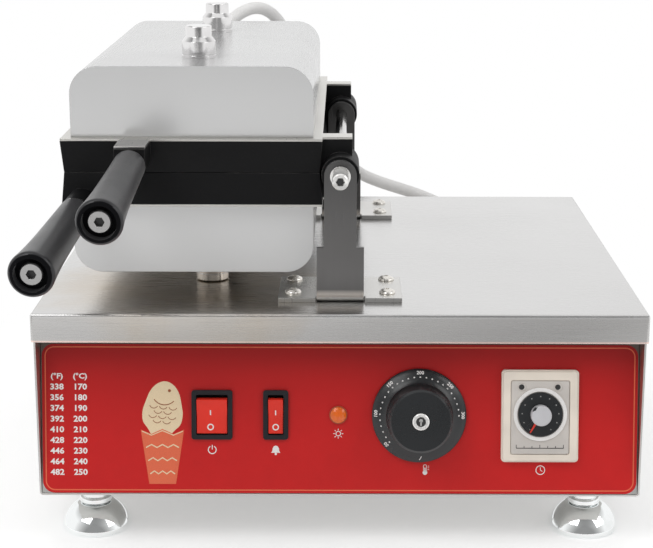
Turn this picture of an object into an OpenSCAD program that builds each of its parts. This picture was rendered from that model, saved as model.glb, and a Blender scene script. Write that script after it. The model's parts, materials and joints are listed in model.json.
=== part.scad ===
// Two-sided fish-cake press: a heated pair of moulds on a cross shaft above a control cabinet.
// All sizes are millimetres. X runs left to right, Y runs front to back, Z is up, and the floor is z = 0.

/* [Cabinet] */
// Width of the cabinet lid, over its side skirts
lid_w = 386; // [370:1:420]
// Depth of the cabinet lid, front skirt to rear skirt
lid_d = 368; // [360:1:400]
// Lid sheet thickness
lid_t = 1.2; // [0.8:0.1:2]
// Height of the folded skirt round the lid
skirt_h = 18.5; // [14:0.5:24]
// Height from the underside of the tray to the top of the lid
cabinet_h = 120.5; // [110:0.5:130]
// Sheet thickness of the tray, front panel and back panel
case_t = 1.2; // [0.8:0.1:2]
// Lean of the control panel from the vertical, in degrees
panel_lean = 10; // [6:0.5:12]

/* [Feet] */
// Height of a bell foot, floor to tray
foot_h = 34.5; // [30:0.5:45]
// Diameter of a bell foot at the floor
foot_d = 45.5; // [38:0.5:50]
// Distance of the feet from the cabinet sides
foot_inset_x = 32; // [28:1:50]
// Distance of the feet from the front and rear edges
foot_inset_y = 35; // [30:1:50]

/* [Mould halves] */
// Length of a mould half, front to back
mould_len = 302; // [290:1:312]
// Width of a mould half at its outer face
mould_w = 165; // [160:1:170]
// Thickness of a mould casting
mould_t = 20; // [17:0.5:22]
// Draft of the mould sides, outer face to parting face
mould_draft = 1.8; // [0.5:0.1:2.5]
// Gap between the closed parting faces
parting_gap = 0.3; // [0.2:0.1:0.6]
// Thickness of the steel plate on the outer face of a mould
plate_t = 1.5; // [1:0.1:2.5]

/* [Fish cavities] */
// Spacing of the two fish, centre to centre
fish_pitch = 144; // [140:1:148]
// Length of the fish body, mouth to tail root
body_len = 100; // [92:1:104]
// Cavity depth at the mouth
mouth_depth = 10.5; // [9:0.5:11]
// Cavity depth at the tail root
tail_depth = 3.5; // [3:0.5:5]
// Extra depth of the belly
belly_depth = 6.5; // [4:0.5:7]
// Height of the cross-section's centre over the parting face, which sets how round the body is
body_round = 33; // [30:1:38]
// Length of the core that leaves the mouth open
core_len = 24; // [18:1:26]
// Thickness of cake round the mouth core
mouth_wall = 5; // [4:0.5:6]
// Radius of one scale
scale_r = 6.5; // [5.5:0.5:7]
// Width and depth of the lines cut for scales, gill and fins
line_w = 0.9; // [0.6:0.1:1.2]

/* [Heads] */
// Width of a steel cover
cover_w = 153.6; // [148:0.2:155]
// Length of a steel cover, front to back
cover_len = 286; // [276:1:288]
// Height of a steel cover
cover_h = 44.7; // [40:0.1:52]
// Radius of the long cover edges
cover_r = 18; // [12:1:20]
// Cover sheet thickness
cover_t = 1.0; // [0.8:0.1:1.6]
// Diameter of a standing post
post_d = 22; // [18:0.5:26]
// Height of the posts under the lower cover
post_h = 15.2; // [14:0.2:20]
// Height of the posts on the upper cover
upper_post_h = 21; // [14:0.2:21.4]
// Distance of the front posts from the front of the cover
post_front = 45; // [30:1:80]
// Spacing of the two posts on a cover
post_pitch = 163; // [140:1:180]

/* [Hinge] */
// Diameter of the cross shaft
shaft_d = 8; // [6:0.5:10]
// Running clearance round the shaft, on the radius
shaft_fit = 0.05; // [0.02:0.01:0.1]
// Outer diameter of the hinge knuckles
knuckle_d = 24; // [18:0.5:24]
// Thickness of each hinge lug, along the shaft
lug_t = 15; // [12:0.5:16]
// Distance of the front bracket from the lid's front edge
bracket_front = 28.5; // [24:0.5:32]
// Distance between the two brackets
bracket_pitch = 249; // [240:1:252]
// Bracket sheet thickness
bracket_t = 3; // [2:0.1:4]
// Width of a bracket at the shaft
bracket_w = 20.5; // [16:0.5:21.5]
// Width of the lower part of a bracket
bracket_low_w = 30; // [24:0.5:31]
// Height of the lower part of a bracket
bracket_low_h = 36; // [28:1:44]
// Width of the bracket foot
bracket_foot_w = 79; // [70:1:90]
// Depth of the bracket foot
bracket_foot_d = 55; // [48:1:60]

/* [Handles] */
// Length of a grip
grip_len = 114; // [100:1:125]
// Diameter of a grip at its front end
grip_front_d = 27; // [24:0.5:30]
// Diameter of a grip at its rear end
grip_rear_d = 20; // [17:0.5:22]
// Downward lean of the grips, in degrees
grip_lean = 5.5; // [2:0.5:8]
// Outward turn of the lower grip, in degrees; the upper grip turns less
grip_splay = 3.7; // [0:0.1:5]
// Length of the lug that carries a grip
arm_len = 28; // [22:1:34]

/* [Controls] */
// Width of the wide rocker switch bezel
power_w = 26; // [22:0.5:30]
// Width of the narrow rocker switch bezel
alarm_w = 16; // [13:0.5:18]
// Height of both rocker switch bezels
rocker_h = 31.6; // [28:0.2:34]
// Swing of a rocker between its two positions, in degrees
rocker_swing = 16; // [12:1:20]
// Diameter of the indicator lamp
lamp_d = 11.5; // [10:0.5:14]
// Diameter of the thermostat dial
dial_d = 60; // [52:1:64]
// Diameter of the thermostat grip
dial_grip_d = 41; // [34:1:44]
// Height of the thermostat knob over the panel
dial_h = 28; // [22:1:32]
// Width of the timer bezel
timer_w = 49; // [46:0.5:52]
// Height of the timer bezel
timer_h = 59; // [56:0.5:62]

/* [Hoses] */
// Outer diameter of the wiring hoses
hose_d = 10; // [8:0.5:11]

/* [Hidden] */
$fn = 64;
eps = 0.01;

// Clearances
seat_gap = 0.3;
slip_gap = 0.4;
press_gap = 0.05;

// Cabinet heights
tray_z = foot_h;
lid_z = tray_z + cabinet_h;
case_gap = 0.3;
case_w = lid_w - 2 * (lid_t + case_gap);
case_front = lid_t + 0.3;
case_back = lid_d - lid_t - case_gap;
case_top = lid_z - lid_t;
edge_r = 2;

// Pivot of the heads
pivot_z = lid_z + seat_gap + post_h + cover_h + plate_t + mould_t + parting_gap / 2;

// Mould block, with X measured from the shaft and Z from the parting plane
mould_right = -11.4;
mould_left = mould_right - mould_w;
mould_front = bracket_front + 9.5;
mould_z0 = parting_gap / 2;
mould_z1 = mould_z0 + mould_t;
plate_z1 = mould_z1 + plate_t;
cover_right = mould_right - (mould_w - cover_w) / 2;
cover_left = cover_right - cover_w;
cover_front = mould_front + 8;
cover_back = cover_front + cover_len;
cover_z1 = plate_z1 + cover_h;
cover_x = (cover_left + cover_right) / 2;
upper_post_x = cover_x + 1.5;
lower_post_x = cover_x + 8;
post_head_d = post_d - 5;
post_y = [cover_front + post_front, cover_front + post_front + post_pitch];

// Hinge knuckles and lugs: the upper half's stand nearer the brackets
bracket_y = [bracket_front, bracket_front + bracket_pitch];
knuckle_y = [for (y = bracket_y) y + bracket_t + seat_gap];
upper_lug_y = [for (y = knuckle_y) y + lug_t];
lower_lug_y = [for (y = upper_lug_y) y + lug_t + seat_gap];
lug_right = 7.5;
shaft_front = bracket_y[0] - 20;
shaft_back = lower_lug_y[1] + lug_t;
collar_d = 13;
collar_t = 1.6;
collar_front = bracket_y[0] - seat_gap - collar_t;
end_nut_d = 10.4;

// Grips
upper_grip_x = mould_left + 47.2;
lower_grip_x = mould_left + 12.8;
upper_grip_z = mould_z1 - 10;
lower_grip_z = 0.4 - mould_z1;
upper_splay = 0.4 * grip_splay;
arm_r = 9.6;
arm_front = mould_front - arm_len;
washer_t = 1.5;
grip_round = 3;

// Reach of a grip in front of its lug, with a given outward turn
function grip_reach(splay) = let (ahead = cos(grip_lean) * cos(splay))
    (washer_t + grip_len - grip_round) * ahead
    + (grip_front_d / 2 - grip_round) * sqrt(1 - ahead * ahead) + grip_round;

// Glands on the covers and on the back panel
gland_len = 16;
gland_flange_d = 21;
cord_gland_x = lid_w / 2 - 53;
cord_gland_drop = 92;
cord_bore_d = 9;

// The frame's origin is on the floor, midway between the grip ends and the rear glands
front_reach = arm_front - max(grip_reach(grip_splay), grip_reach(upper_splay));
back_reach = case_back + gland_len;
origin_y = (front_reach + back_reach) / 2;

// Control panel: u runs to the right from the middle, v runs up the panel from its lower edge
panel_foot_y = case_front + 0.3;
panel_foot_z = tray_z + case_t + 0.2;
panel_w = case_w - 2 * case_t - 0.6;
panel_fold = 12;
label_h = 95.6;
label_margin = 0.6;
label_t = 0.4;
label_r = 7.5;
control_v = 50.8;
power_u = -81.3;
alarm_u = -40.8;
lamp_u = -1.0;
dial_u = 50.4;
timer_u = 127;
bezel_t = 2.2;
bezel_rim = 3;
rocker_deep = 20;
rocker_pin_d = 2.4;
rocker_pin_z = -3.5;
dial_skirt_h = 6;
dial_gap = 1.2;
spindle_d = 6;
timer_face_w = 37.5;
timer_face_h = 47.5;
timer_face_v = control_v - 0.8;
timer_ring_v = control_v + 1.4;
timer_rim_h = 5;

// Routes of the hoses as drawn: x, distance behind the lid's front edge, height over the lid
jumper_points = [[-104, 348, 128], [-104, 353, 128], [-102.6, 361.7, 130], [-98.4, 373.9, 135.4],
    [-92, 384.3, 142.2], [-83.9, 394, 148.3], [-74.5, 403.9, 151.5], [-65.6, 414.4, 149.9],
    [-57.5, 423.9, 143.6], [-50.6, 430.5, 133.4], [-45.1, 434.1, 121.1], [-41.2, 434.5, 107.7],
    [-39.3, 432.1, 94.1], [-39.3, 427.3, 80.9], [-41.5, 420.6, 68.8], [-45.3, 411.8, 58.7],
    [-49.8, 401.1, 50.9], [-54.2, 389, 45.4], [-57.5, 375.8, 42.1], [-59.4, 362, 40.5],
    [-60, 353, 40], [-60, 348, 40]];
base_points = [[-32, 348, 40], [-32, 353, 40], [-30, 362.7, 39.9], [-24.5, 376.5, 39.1], [-16.6, 388.9, 37.2],
    [-7.9, 400.1, 33], [-0.1, 410.1, 25.2], [8, 418.1, 15.7], [18.3, 424.6, 7.2], [30.6, 430, 0.8],
    [43.7, 434.5, -4.5], [57.3, 438.1, -9.5], [71, 440.4, -14.8], [84.5, 440.9, -20.8], [97.3, 439.1, -28.1],
    [108.1, 434.8, -37.3], [114.9, 428.2, -48.6], [116.7, 419.6, -60.6], [114.1, 409.2, -70.7],
    [109.4, 396.5, -76.7], [107, 387, -78], [107, 382, -78]];
drawn_cover_back = 332;
drawn_case_back = 366.5;
cover_shift = cover_back - drawn_cover_back;
case_shift = case_back - drawn_case_back;
jumper_route = [for (p = jumper_points) p + [0, cover_shift, 0]];
base_route = [for (i = [0 : len(base_points) - 1]) let (t = i / (len(base_points) - 1))
    base_points[i] + [0, cover_shift + (case_shift - cover_shift) * t, 0]];

// Feet, vents and threads
foot_x = [-lid_w / 2 + foot_inset_x, lid_w / 2 - foot_inset_x];
foot_y = [foot_inset_y, lid_d - foot_inset_y];
neck_r = 8.5;
bell_top_r = 12;
bell_h = 14;
rim_h = 3.5;
foot_ring_d = 21;
foot_ring_h = 4;
stud_d = 8;
nut_h = 6.5;
vent_slots = 9;
vent_pitch = 12;
gland_thread_d = 12;
screw_d = 5;
screw_x = 30.3;
screw_y = [13.5, 47.5];
bolt_d = 6;
post_stud_d = 6;
post_stud_len = 14;
head_seat = 6;
grip_points = 10;

// Fish cavities
fish_steps = 14;
fish_mouth_x = mould_left + mould_draft + 9;
fish_y = [for (s = [-1, 1]) mould_front + mould_len / 2 + s * fish_pitch / 2];
tail_len = 38;
fin_deep = 3.2;
fin_rib_h = 1.1;
eye_x = 34;
eye_y = 11;

// Heaters
heater_d = 8;
heater_r = 38;
heater_back = cover_back - 30;
hose_sides = 10;

last_point = len(base_route) - 1;

// Moves a piece drawn from the lid's front edge into the part's frame
module placed() {
    translate([0, -origin_y, 0]) children();
}

// Puts a piece drawn from the shaft and the parting plane at its height, the upper half's way up
module upper_half() {
    placed() translate([0, 0, pivot_z]) children();
}

module lower_half() {
    placed() translate([0, 0, pivot_z]) mirror([0, 0, 1]) children();
}

// Draws on the control panel: X across, Y up the panel, Z out of it
module on_panel(u = 0, v = 0) {
    placed() translate([0, panel_foot_y, panel_foot_z])
        rotate([90 - panel_lean, 0, 0]) translate([u, v, 0]) children();
}

module rounded_rect(w, h, r) {
    translate([r, 0]) square([w - 2 * r, h]);
    translate([0, r]) square([w, h - 2 * r]);
    for (x = [r, w - r], y = [r, h - r]) translate([x, y]) circle(r);
}

module centred_rect(w, h, r) {
    translate([-w / 2, -h / 2]) rounded_rect(w, h, r);
}

// A box whose lower or upper edges are all rounded, as folded sheet is
module folded_box(w, d, h, r) {
    intersection() {
        linear_extrude(h) rounded_rect(w, d, r);
        translate([0, d, 0]) rotate([90, 0, 0]) linear_extrude(d) fold_profile(w, h, r);
        rotate([90, 0, 90]) linear_extrude(w) fold_profile(d, h, r);
    }
}

module fold_profile(w, h, r) {
    square([w, h - r]);
    translate([r, h - r]) square([w - 2 * r, r]);
    for (x = [r, w - r]) translate([x, h - r]) circle(r);
}

// Lid of the cabinet: one sheet with a skirt on all sides and holes for the bracket screws
module base_lid() {
    color("lightgray") placed() difference() {
        translate([-lid_w / 2, 0, lid_z - skirt_h]) folded_box(lid_w, lid_d, skirt_h, edge_r);
        translate([-lid_w / 2 + lid_t, lid_t, lid_z - skirt_h - 1])
            folded_box(lid_w - 2 * lid_t, lid_d - 2 * lid_t, skirt_h + 1 - lid_t, edge_r - lid_t);
        for (y = bracket_y) bracket_screw_places(y) translate([0, 0, lid_z - 5])
            cylinder(d = screw_d + 2 * press_gap, h = 10);
    }
}

// Tray: the bottom and both sides of the cabinet in one folded sheet, open at the front and back
module body_tray() {
    color("silver") placed() difference() {
        translate([-case_w / 2, case_back, tray_z])
            rotate([90, 0, 0]) linear_extrude(case_back - case_front) tray_profile();
        for (x = foot_x, y = foot_y) translate([x, y, tray_z - 1]) cylinder(d = stud_d + slip_gap, h = 10);
        vent_rows(tray_z - 1, 10);
    }
}

module tray_profile() {
    h = case_top - tray_z - 0.25;
    inner_r = edge_r - case_t;
    difference() {
        mirror([0, 1]) translate([0, -h]) fold_profile(case_w, h, edge_r);
        translate([case_t, edge_r]) square([case_w - 2 * case_t, cabinet_h]);
        translate([edge_r, case_t]) square([case_w - 2 * edge_r, inner_r + 1]);
        for (x = [edge_r, case_w - edge_r]) translate([x, edge_r]) circle(inner_r);
    }
}

module vent_rows(z, h) {
    for (i = [0 : vent_slots - 1])
        translate([(i - (vent_slots - 1) / 2) * vent_pitch, lid_d / 2, z])
            linear_extrude(h) centred_rect(5, 60, 2.4);
}

// Back panel with folded edges, the hose gland hole, the cord gland hole and rows of vent slots
module back_panel() {
    w = case_w - 2 * case_t - 0.6;
    h = case_top - 0.3 - tray_z - case_t - 0.2;
    color("silver") placed() difference() {
        translate([-w / 2, case_back - 12, tray_z + case_t + 0.2]) union() {
            translate([0, 12 - case_t, 0]) cube([w, case_t, h]);
            cube([w, 12, case_t]);
            translate([0, 0, h - case_t]) cube([w, 12, case_t]);
        }
        gland_hole(base_route[last_point][0], lid_z + base_route[last_point][2], gland_thread_d);
        gland_hole(cord_gland_x, lid_z - cord_gland_drop, gland_thread_d);
        for (i = [0 : vent_slots - 1], z = [0, 24])
            translate([-150 + i * vent_pitch, case_back + 1, lid_z - 70 + z]) rotate([90, 0, 0])
                linear_extrude(case_t + 2) centred_rect(5, 16, 2.4);
    }
}

module gland_hole(x, z, d) {
    translate([x, case_back - 4, z]) rotate([-90, 0, 0]) cylinder(d = d + slip_gap, h = 8);
}

// Leaning front panel with folded edges and the cut-outs for its controls
module front_panel() {
    top = case_top - 0.3 - panel_foot_z;
    top_front = top * tan(panel_lean);
    color("silver") difference() {
        placed() translate([-panel_w / 2, panel_foot_y, panel_foot_z])
            rotate([90, 0, 90]) linear_extrude(panel_w) polygon([
                [0, 0], [top_front, top],
                [top_front + panel_fold, top], [top_front + panel_fold, top - case_t],
                [panel_inside(top - case_t), top - case_t], [panel_inside(case_t), case_t],
                [panel_fold, case_t], [panel_fold, 0]]);
        panel_cutouts();
    }
}

// Distance of the panel's inner face behind its foot, at a height over the foot
function panel_inside(z) = (case_t + z * sin(panel_lean)) / cos(panel_lean);

module panel_cutouts() {
    on_panel(power_u, control_v) cutout(power_w - 3, rocker_h - 3);
    on_panel(alarm_u, control_v) cutout(alarm_w - 3, rocker_h - 3);
    on_panel(lamp_u, control_v) translate([0, 0, -10]) cylinder(d = lamp_d - 3 + slip_gap, h = 20);
    on_panel(dial_u, control_v) translate([0, 0, -10]) cylinder(d = spindle_d + 4 + slip_gap, h = 20);
    on_panel(timer_u, control_v) cutout(timer_w - 4, timer_w - 4);
}

module cutout(w, h) {
    translate([0, 0, -10]) linear_extrude(20) centred_rect(w, h, 1.5);
}

// Printed film over the visible part of the panel
module panel_overlay() {
    color("firebrick") difference() {
        on_panel(-panel_w / 2 + label_margin, 0.2) linear_extrude(label_t)
            rounded_rect(panel_w - 2 * label_margin, label_h, label_r);
        panel_cutouts();
    }
}

// Chromed bell foot on a threaded stud
module foot(x, y) {
    color("gainsboro") placed() translate([x, y, 0]) {
        rotate_extrude() {
            polygon([[0, 0], [foot_d / 2 - 1, 0], [foot_d / 2 - 1, 1], [foot_d / 2, 1.6],
                for (i = [0 : 12]) bell_point(i / 12), [0, rim_h + bell_h]]);
            square([neck_r, foot_h]);
            translate([0, rim_h + bell_h + 0.6]) {
                square([foot_ring_d / 2 - 1, foot_ring_h]);
                translate([0, 1]) square([foot_ring_d / 2, foot_ring_h - 2]);
                for (z = [1, foot_ring_h - 1]) translate([foot_ring_d / 2 - 1, z]) circle(1);
            }
        }
        cylinder(d = stud_d, h = foot_h + 9);
    }
}

// Outline of the bell, from its rim to its neck
function bell_point(t) = [bell_top_r + (foot_d / 2 - bell_top_r) * (1 - t + cos(90 * t)) / 2,
    rim_h + bell_h * (t + sin(90 * t)) / 2];

module foot_front_left() { foot(foot_x[0], foot_y[0]); }

module foot_front_right() { foot(foot_x[1], foot_y[0]); }

module foot_rear_left() { foot(foot_x[0], foot_y[1]); }

module foot_rear_right() { foot(foot_x[1], foot_y[1]); }

// Lock nuts that hold the feet, inside the tray
module foot_nuts() {
    color("gray") placed() for (x = foot_x, y = foot_y) translate([x, y, tray_z + case_t]) difference() {
        cylinder(d = 14.6, h = nut_h, $fn = 6);
        translate([0, 0, -1]) cylinder(d = stud_d + 2 * press_gap, h = nut_h + 2);
    }
}

// Housing of a rocker switch, with the recess and the bearing holes for its rocker
module switch_body(w) {
    color("dimgray") difference() {
        union() {
            translate([0, 0, label_t]) linear_extrude(bezel_t) centred_rect(w, rocker_h, 1.8);
            translate([0, 0, -rocker_deep]) linear_extrude(rocker_deep + label_t + eps)
                centred_rect(w - 3.4, rocker_h - 3.4, 1);
            for (v = [-8, 0, 8]) translate([-0.4, v - 3, -rocker_deep - 8]) cube([0.8, 6, 9]);
        }
        translate([0, 0, -8.5]) linear_extrude(20)
            centred_rect(w - 2 * bezel_rim, rocker_h - 2 * bezel_rim, 0.8);
        translate([-w, 0, rocker_pin_z]) rotate([0, 90, 0])
            cylinder(d = rocker_pin_d + 2 * shaft_fit, h = 2 * w);
    }
}

// A rocker resting with its lower end pressed in, on trunnion pins
module rocker(w) {
    half = rocker_h / 2 - bezel_rim - 1.6;
    crest = half * tan(rocker_swing / 2);
    body_w = w - 2 * bezel_rim - 2 * seat_gap;
    color("red") translate([0, 0, rocker_pin_z]) rotate([rocker_swing / 2, 0, 0]) {
        translate([-body_w / 2, 0, 0]) rotate([90, 0, 90]) linear_extrude(body_w)
            polygon([[-half, 2.2], [-half, 5.4 + crest], [0, 5.4], [half, 5.4 + crest], [half, 2.2],
                [3.5, -3.2], [-3.5, -3.2]]);
        translate([-body_w / 2 - 1.2, 0, 0]) rotate([0, 90, 0]) cylinder(d = rocker_pin_d, h = body_w + 2.4);
    }
}

module power_switch_body() { on_panel(power_u, control_v) switch_body(power_w); }

module power_rocker() { on_panel(power_u, control_v) rocker(power_w); }

module alarm_switch_body() { on_panel(alarm_u, control_v) switch_body(alarm_w); }

module alarm_rocker() { on_panel(alarm_u, control_v) rocker(alarm_w); }

// Threaded barrel and rim of the indicator lamp
module lamp_body() {
    color("darkorange") on_panel(lamp_u, control_v) {
        translate([0, 0, label_t]) cylinder(d = lamp_d, h = 1.1);
        translate([0, 0, -18]) cylinder(d = lamp_d - 3, h = 18 + label_t + eps);
        translate([0, 0, -case_t - 4]) cylinder(d = lamp_d + 1, h = 4, $fn = 6);
    }
}

module lamp_lens() {
    color("orange") on_panel(lamp_u, control_v) translate([0, 0, label_t + 1.1])
        rotate_extrude() intersection() {
            translate([0, -6.5]) circle(r = 8.4);
            square([lamp_d / 2 - 0.7, 4]);
        }
}

// Capillary thermostat behind the panel, with its bush and the bearing of the dial spindle
module thermostat() {
    color("darkgray") on_panel(dial_u, control_v) difference() {
        union() {
            translate([0, 0, -case_t - 24]) linear_extrude(24) centred_rect(44, 34, 2);
            translate([0, 0, -case_t - eps]) cylinder(d = spindle_d + 4, h = case_t + label_t + 0.4);
            translate([0, 0, -case_t - 30]) cylinder(d = 20, h = 7);
        }
        translate([0, 0, -case_t - 18]) cylinder(d = spindle_d + 2 * shaft_fit, h = 30);
    }
}

// Thermostat knob: a skirt that carries the scale, a round grip and the spindle
module temperature_dial() {
    base = label_t + dial_gap;
    grip_r = dial_grip_d / 2;
    color("black") on_panel(dial_u, control_v) difference() {
        union() {
            translate([0, 0, base]) rotate_extrude() polygon([[0, 0], [dial_d / 2, 0], [dial_d / 2, 1.6],
                [dial_d / 2 - 1, 2.6], [grip_r + 1, dial_skirt_h], [grip_r + 0.4, dial_skirt_h + 0.8],
                [grip_r - 0.6, dial_h - base - 1.6], [grip_r - 2, dial_h - base], [0, dial_h - base]]);
            translate([0, 0, -case_t - 17]) cylinder(d = spindle_d, h = 17 + case_t + base + 1);
        }
        translate([0, 0, dial_h - 1.5]) cylinder(d = 11.3, h = 5);
    }
}

// Bright cap in the middle of the knob
module dial_cap() {
    color("silver") on_panel(dial_u, control_v) translate([0, 0, dial_h - 1.5]) rotate_extrude()
        polygon([[0, 0], [5.3, 0], [5.3, 1.9], [4.6, 2.5], [3.4, 2.5], [3.1, 2.1], [0, 2.1]]);
}

// Cream bezel and housing of the plug-in timer
module timer_case() {
    color("antiquewhite") on_panel(timer_u, control_v) difference() {
        union() {
            translate([0, 0, label_t]) linear_extrude(timer_rim_h - 1.2) centred_rect(timer_w, timer_h, 2.5);
            translate([0, 0, label_t + timer_rim_h - 1.2 - eps]) linear_extrude(1.2)
                centred_rect(timer_w - 2, timer_h - 2, 2);
            translate([0, 0, -58]) linear_extrude(58 + label_t + eps)
                centred_rect(timer_w - 4.6, timer_w - 4.6, 1);
        }
        translate([0, timer_face_v - control_v, label_t + timer_rim_h - 1.8]) linear_extrude(5)
            centred_rect(timer_face_w, timer_face_h, 1.5);
        translate([0, timer_ring_v - control_v, -20]) cylinder(d = 4 + 2 * shaft_fit, h = 30);
    }
}

// Face of the timer: plate, raised ring round the dial and two lamps
module timer_face() {
    base = label_t + timer_rim_h - 1.8;
    color("gainsboro") on_panel(timer_u, timer_face_v) translate([0, 0, base]) {
        difference() {
            union() {
                linear_extrude(1.2)
                    centred_rect(timer_face_w - 2 * seat_gap, timer_face_h - 2 * seat_gap, 1.2);
                translate([0, timer_ring_v - timer_face_v, 0]) cylinder(d = 34.2, h = 2.2);
                for (u = [-11.4, 11.4]) translate([u, 19.6, 0]) cylinder(d = 4.6, h = 2);
            }
            translate([0, timer_ring_v - timer_face_v, 1.4]) cylinder(d = 29, h = 4);
            translate([0, timer_ring_v - timer_face_v, -1]) cylinder(d = 5, h = 4);
        }
    }
}

// Setting dial of the timer: disc, raised knob with its pointer and spindle
module timer_dial() {
    base = label_t + timer_rim_h - 1.8 + 1.4 + 0.3;
    color("black") on_panel(timer_u, timer_ring_v) {
        translate([0, 0, base]) cylinder(d = 28, h = 1.4);
        translate([0, 0, base + 1]) cylinder(d = 12.4, h = 6.4);
        translate([0, 0, base + 1.4]) rotate(225) translate([0, -1, -eps]) cube([13, 2, 1.4]);
        translate([0, 0, -15]) cylinder(d = 4, h = 16 + base);
    }
}

// Round buzzer that sounds when the time is up
module alarm_buzzer() {
    color("black") placed() translate([-40, 90, tray_z + case_t]) difference() {
        union() {
            cylinder(d = 32, h = 14);
            for (s = [-1, 1]) translate([s * 19, 0, 0]) cylinder(d = 9, h = 3);
            translate([-19, -3, 0]) cube([38, 6, 3]);
        }
        translate([0, 0, 9]) cylinder(d = 5, h = 10);
    }
}

// Screw terminal strip for the heaters and the mains lead
module terminal_block() {
    ways = 6;
    color("beige") placed() translate([lid_w / 2 - 103, lid_d - 78, tray_z + case_t]) {
        cube([ways * 12 + 2, 24, 9]);
        for (i = [0 : ways]) translate([i * 12, 0, 8.9]) cube([2, 24, 8]);
        for (i = [0 : ways - 1]) translate([i * 12 + 7, 12, 8.9]) cylinder(d = 6, h = 3);
    }
}

// Domed cable gland that stands on a wall and points to the rear
module gland(x, z, wall_y, reach, bore) {
    color("dimgray") placed() translate([x, wall_y, z]) rotate([-90, 0, 0]) difference() {
        union() {
            cylinder(d = gland_flange_d, h = 2.2);
            translate([0, 0, 2.1]) cylinder(d = gland_flange_d - 0.6, h = 5, $fn = 6);
            translate([0, 0, 7]) rotate_extrude() polygon([[0, 0], [8.6, 0], [8.6, reach - 11],
                [7.6, reach - 8.4], [hose_d / 2 + 0.8, reach - 7], [0, reach - 7]]);
            translate([0, 0, -8]) cylinder(d = gland_thread_d, h = 9);
            translate([0, 0, -8]) cylinder(d = 17, h = 4.5, $fn = 6);
        }
        if (bore > 0) translate([0, 0, -9]) cylinder(d = bore, h = reach + 10);
    }
}

module base_hose_gland() {
    point = base_route[last_point];
    gland(point[0], lid_z + point[2], case_back, point[1] - case_back, 0);
}

module cord_gland() {
    gland(cord_gland_x, lid_z - cord_gland_drop, case_back, gland_len, cord_bore_d);
}

module bracket_screw_places(y) {
    for (x = [-screw_x, screw_x], step = screw_y) translate([x, y + step, 0]) children();
}

// Bracket of folded sheet: a screwed foot, a bend and an upright with a round top that holds the shaft
module bracket(y) {
    bend_r = bracket_t + 2;
    rise = pivot_z - lid_z;
    color("slategray") placed() translate([0, y, lid_z]) difference() {
        union() {
            translate([0, bracket_t, 0]) rotate([90, 0, 0]) linear_extrude(bracket_t) {
                translate([-bracket_low_w / 2, bend_r]) square([bracket_low_w, bracket_low_h - bend_r]);
                translate([-bracket_w / 2, bracket_low_h - 1]) square([bracket_w, rise - bracket_low_h + 1]);
                translate([0, rise]) circle(d = bracket_w);
            }
            translate([-bracket_low_w / 2, bend_r, bend_r]) rotate([90, 0, 90]) linear_extrude(bracket_low_w)
                intersection() {
                    difference() {
                        circle(bend_r);
                        circle(bend_r - bracket_t);
                    }
                    translate([-bend_r, -bend_r]) square(bend_r);
                }
            translate([-bracket_foot_w / 2, bend_r, 0])
                cube([bracket_foot_w, bracket_foot_d - bend_r, bracket_t]);
            for (s = [0, 1]) mirror([s, 0, 0]) translate([bracket_low_w / 2 + 0.8, 0, 0])
                cube([(bracket_foot_w - bracket_low_w) / 2 - 0.8, bend_r + 1, bracket_t]);
        }
        translate([0, -1, rise]) rotate([-90, 0, 0]) cylinder(d = shaft_d + 2 * shaft_fit, h = bracket_t + 2);
        for (x = [-screw_x, screw_x], step = screw_y) translate([x, step, -1])
            cylinder(d = screw_d + slip_gap, h = bracket_t + 2);
    }
}

module front_bracket() { bracket(bracket_y[0]); }

module rear_bracket() { bracket(bracket_y[1]); }

// Button-head screws that hold the brackets on the lid
module bracket_screws() {
    color("silver") placed() for (y = bracket_y) bracket_screw_places(y) translate([0, 0, lid_z + bracket_t])
        rotate_extrude() {
            intersection() {
                translate([0, -4.9]) circle(r = 8);
                square([5.25, 4]);
            }
            translate([0, -bracket_t - lid_t - 5]) square([screw_d / 2, bracket_t + lid_t + 5.1]);
        }
}

// Shaft that carries both heads
module hinge_shaft() {
    color("white") placed() translate([0, shaft_front + 13, pivot_z]) rotate([-90, 0, 0])
        cylinder(d = shaft_d, h = shaft_back + collar_t + nut_h + 2 - shaft_front - 13);
}

// Long socket nut at the front end of the shaft and plain nut at the rear end
module shaft_end_nuts() {
    front_len = collar_front - shaft_front;
    color("silver") {
        placed() translate([0, shaft_front, pivot_z]) rotate([-90, 0, 0]) difference() {
            rotate_extrude() polygon([[0, 0.8], [end_nut_d / 2 - 0.8, 0], [end_nut_d / 2, 0.8],
                [end_nut_d / 2, front_len], [0, front_len]]);
            translate([0, 0, -1]) cylinder(d = 5.8, h = 6, $fn = 6);
            translate([0, 0, 13]) cylinder(d = shaft_d + 2 * press_gap, h = front_len);
        }
        placed() translate([0, shaft_back + collar_t, pivot_z]) rotate([-90, 0, 0]) difference() {
            cylinder(d = 15, h = nut_h, $fn = 6);
            translate([0, 0, -1]) cylinder(d = shaft_d + 2 * press_gap, h = nut_h + 2);
        }
    }
}

// Washers at the two ends of the shaft
module shaft_collars() {
    color("silver") for (c = [[collar_front, collar_d], [shaft_back, collar_d + 4]])
        placed() translate([0, c[0], pivot_z]) rotate([-90, 0, 0]) difference() {
            cylinder(d = c[1], h = collar_t);
            translate([0, 0, -1]) cylinder(d = shaft_d + 2 * press_gap, h = collar_t + 2);
        }
}

// Drafted block of a mould, narrower at the parting face
module mould_block() {
    intersection() {
        translate([0, mould_front + mould_len, 0]) rotate([90, 0, 0]) linear_extrude(mould_len)
            draft_profile(mould_left, mould_right);
        translate([mould_left, 0, 0]) rotate([90, 0, 90]) linear_extrude(mould_w)
            draft_profile(mould_front, mould_front + mould_len);
    }
}

module draft_profile(low, high) {
    polygon([[low + mould_draft, mould_z0], [high - mould_draft, mould_z0],
        [high, mould_z1], [low, mould_z1]]);
}

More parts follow.
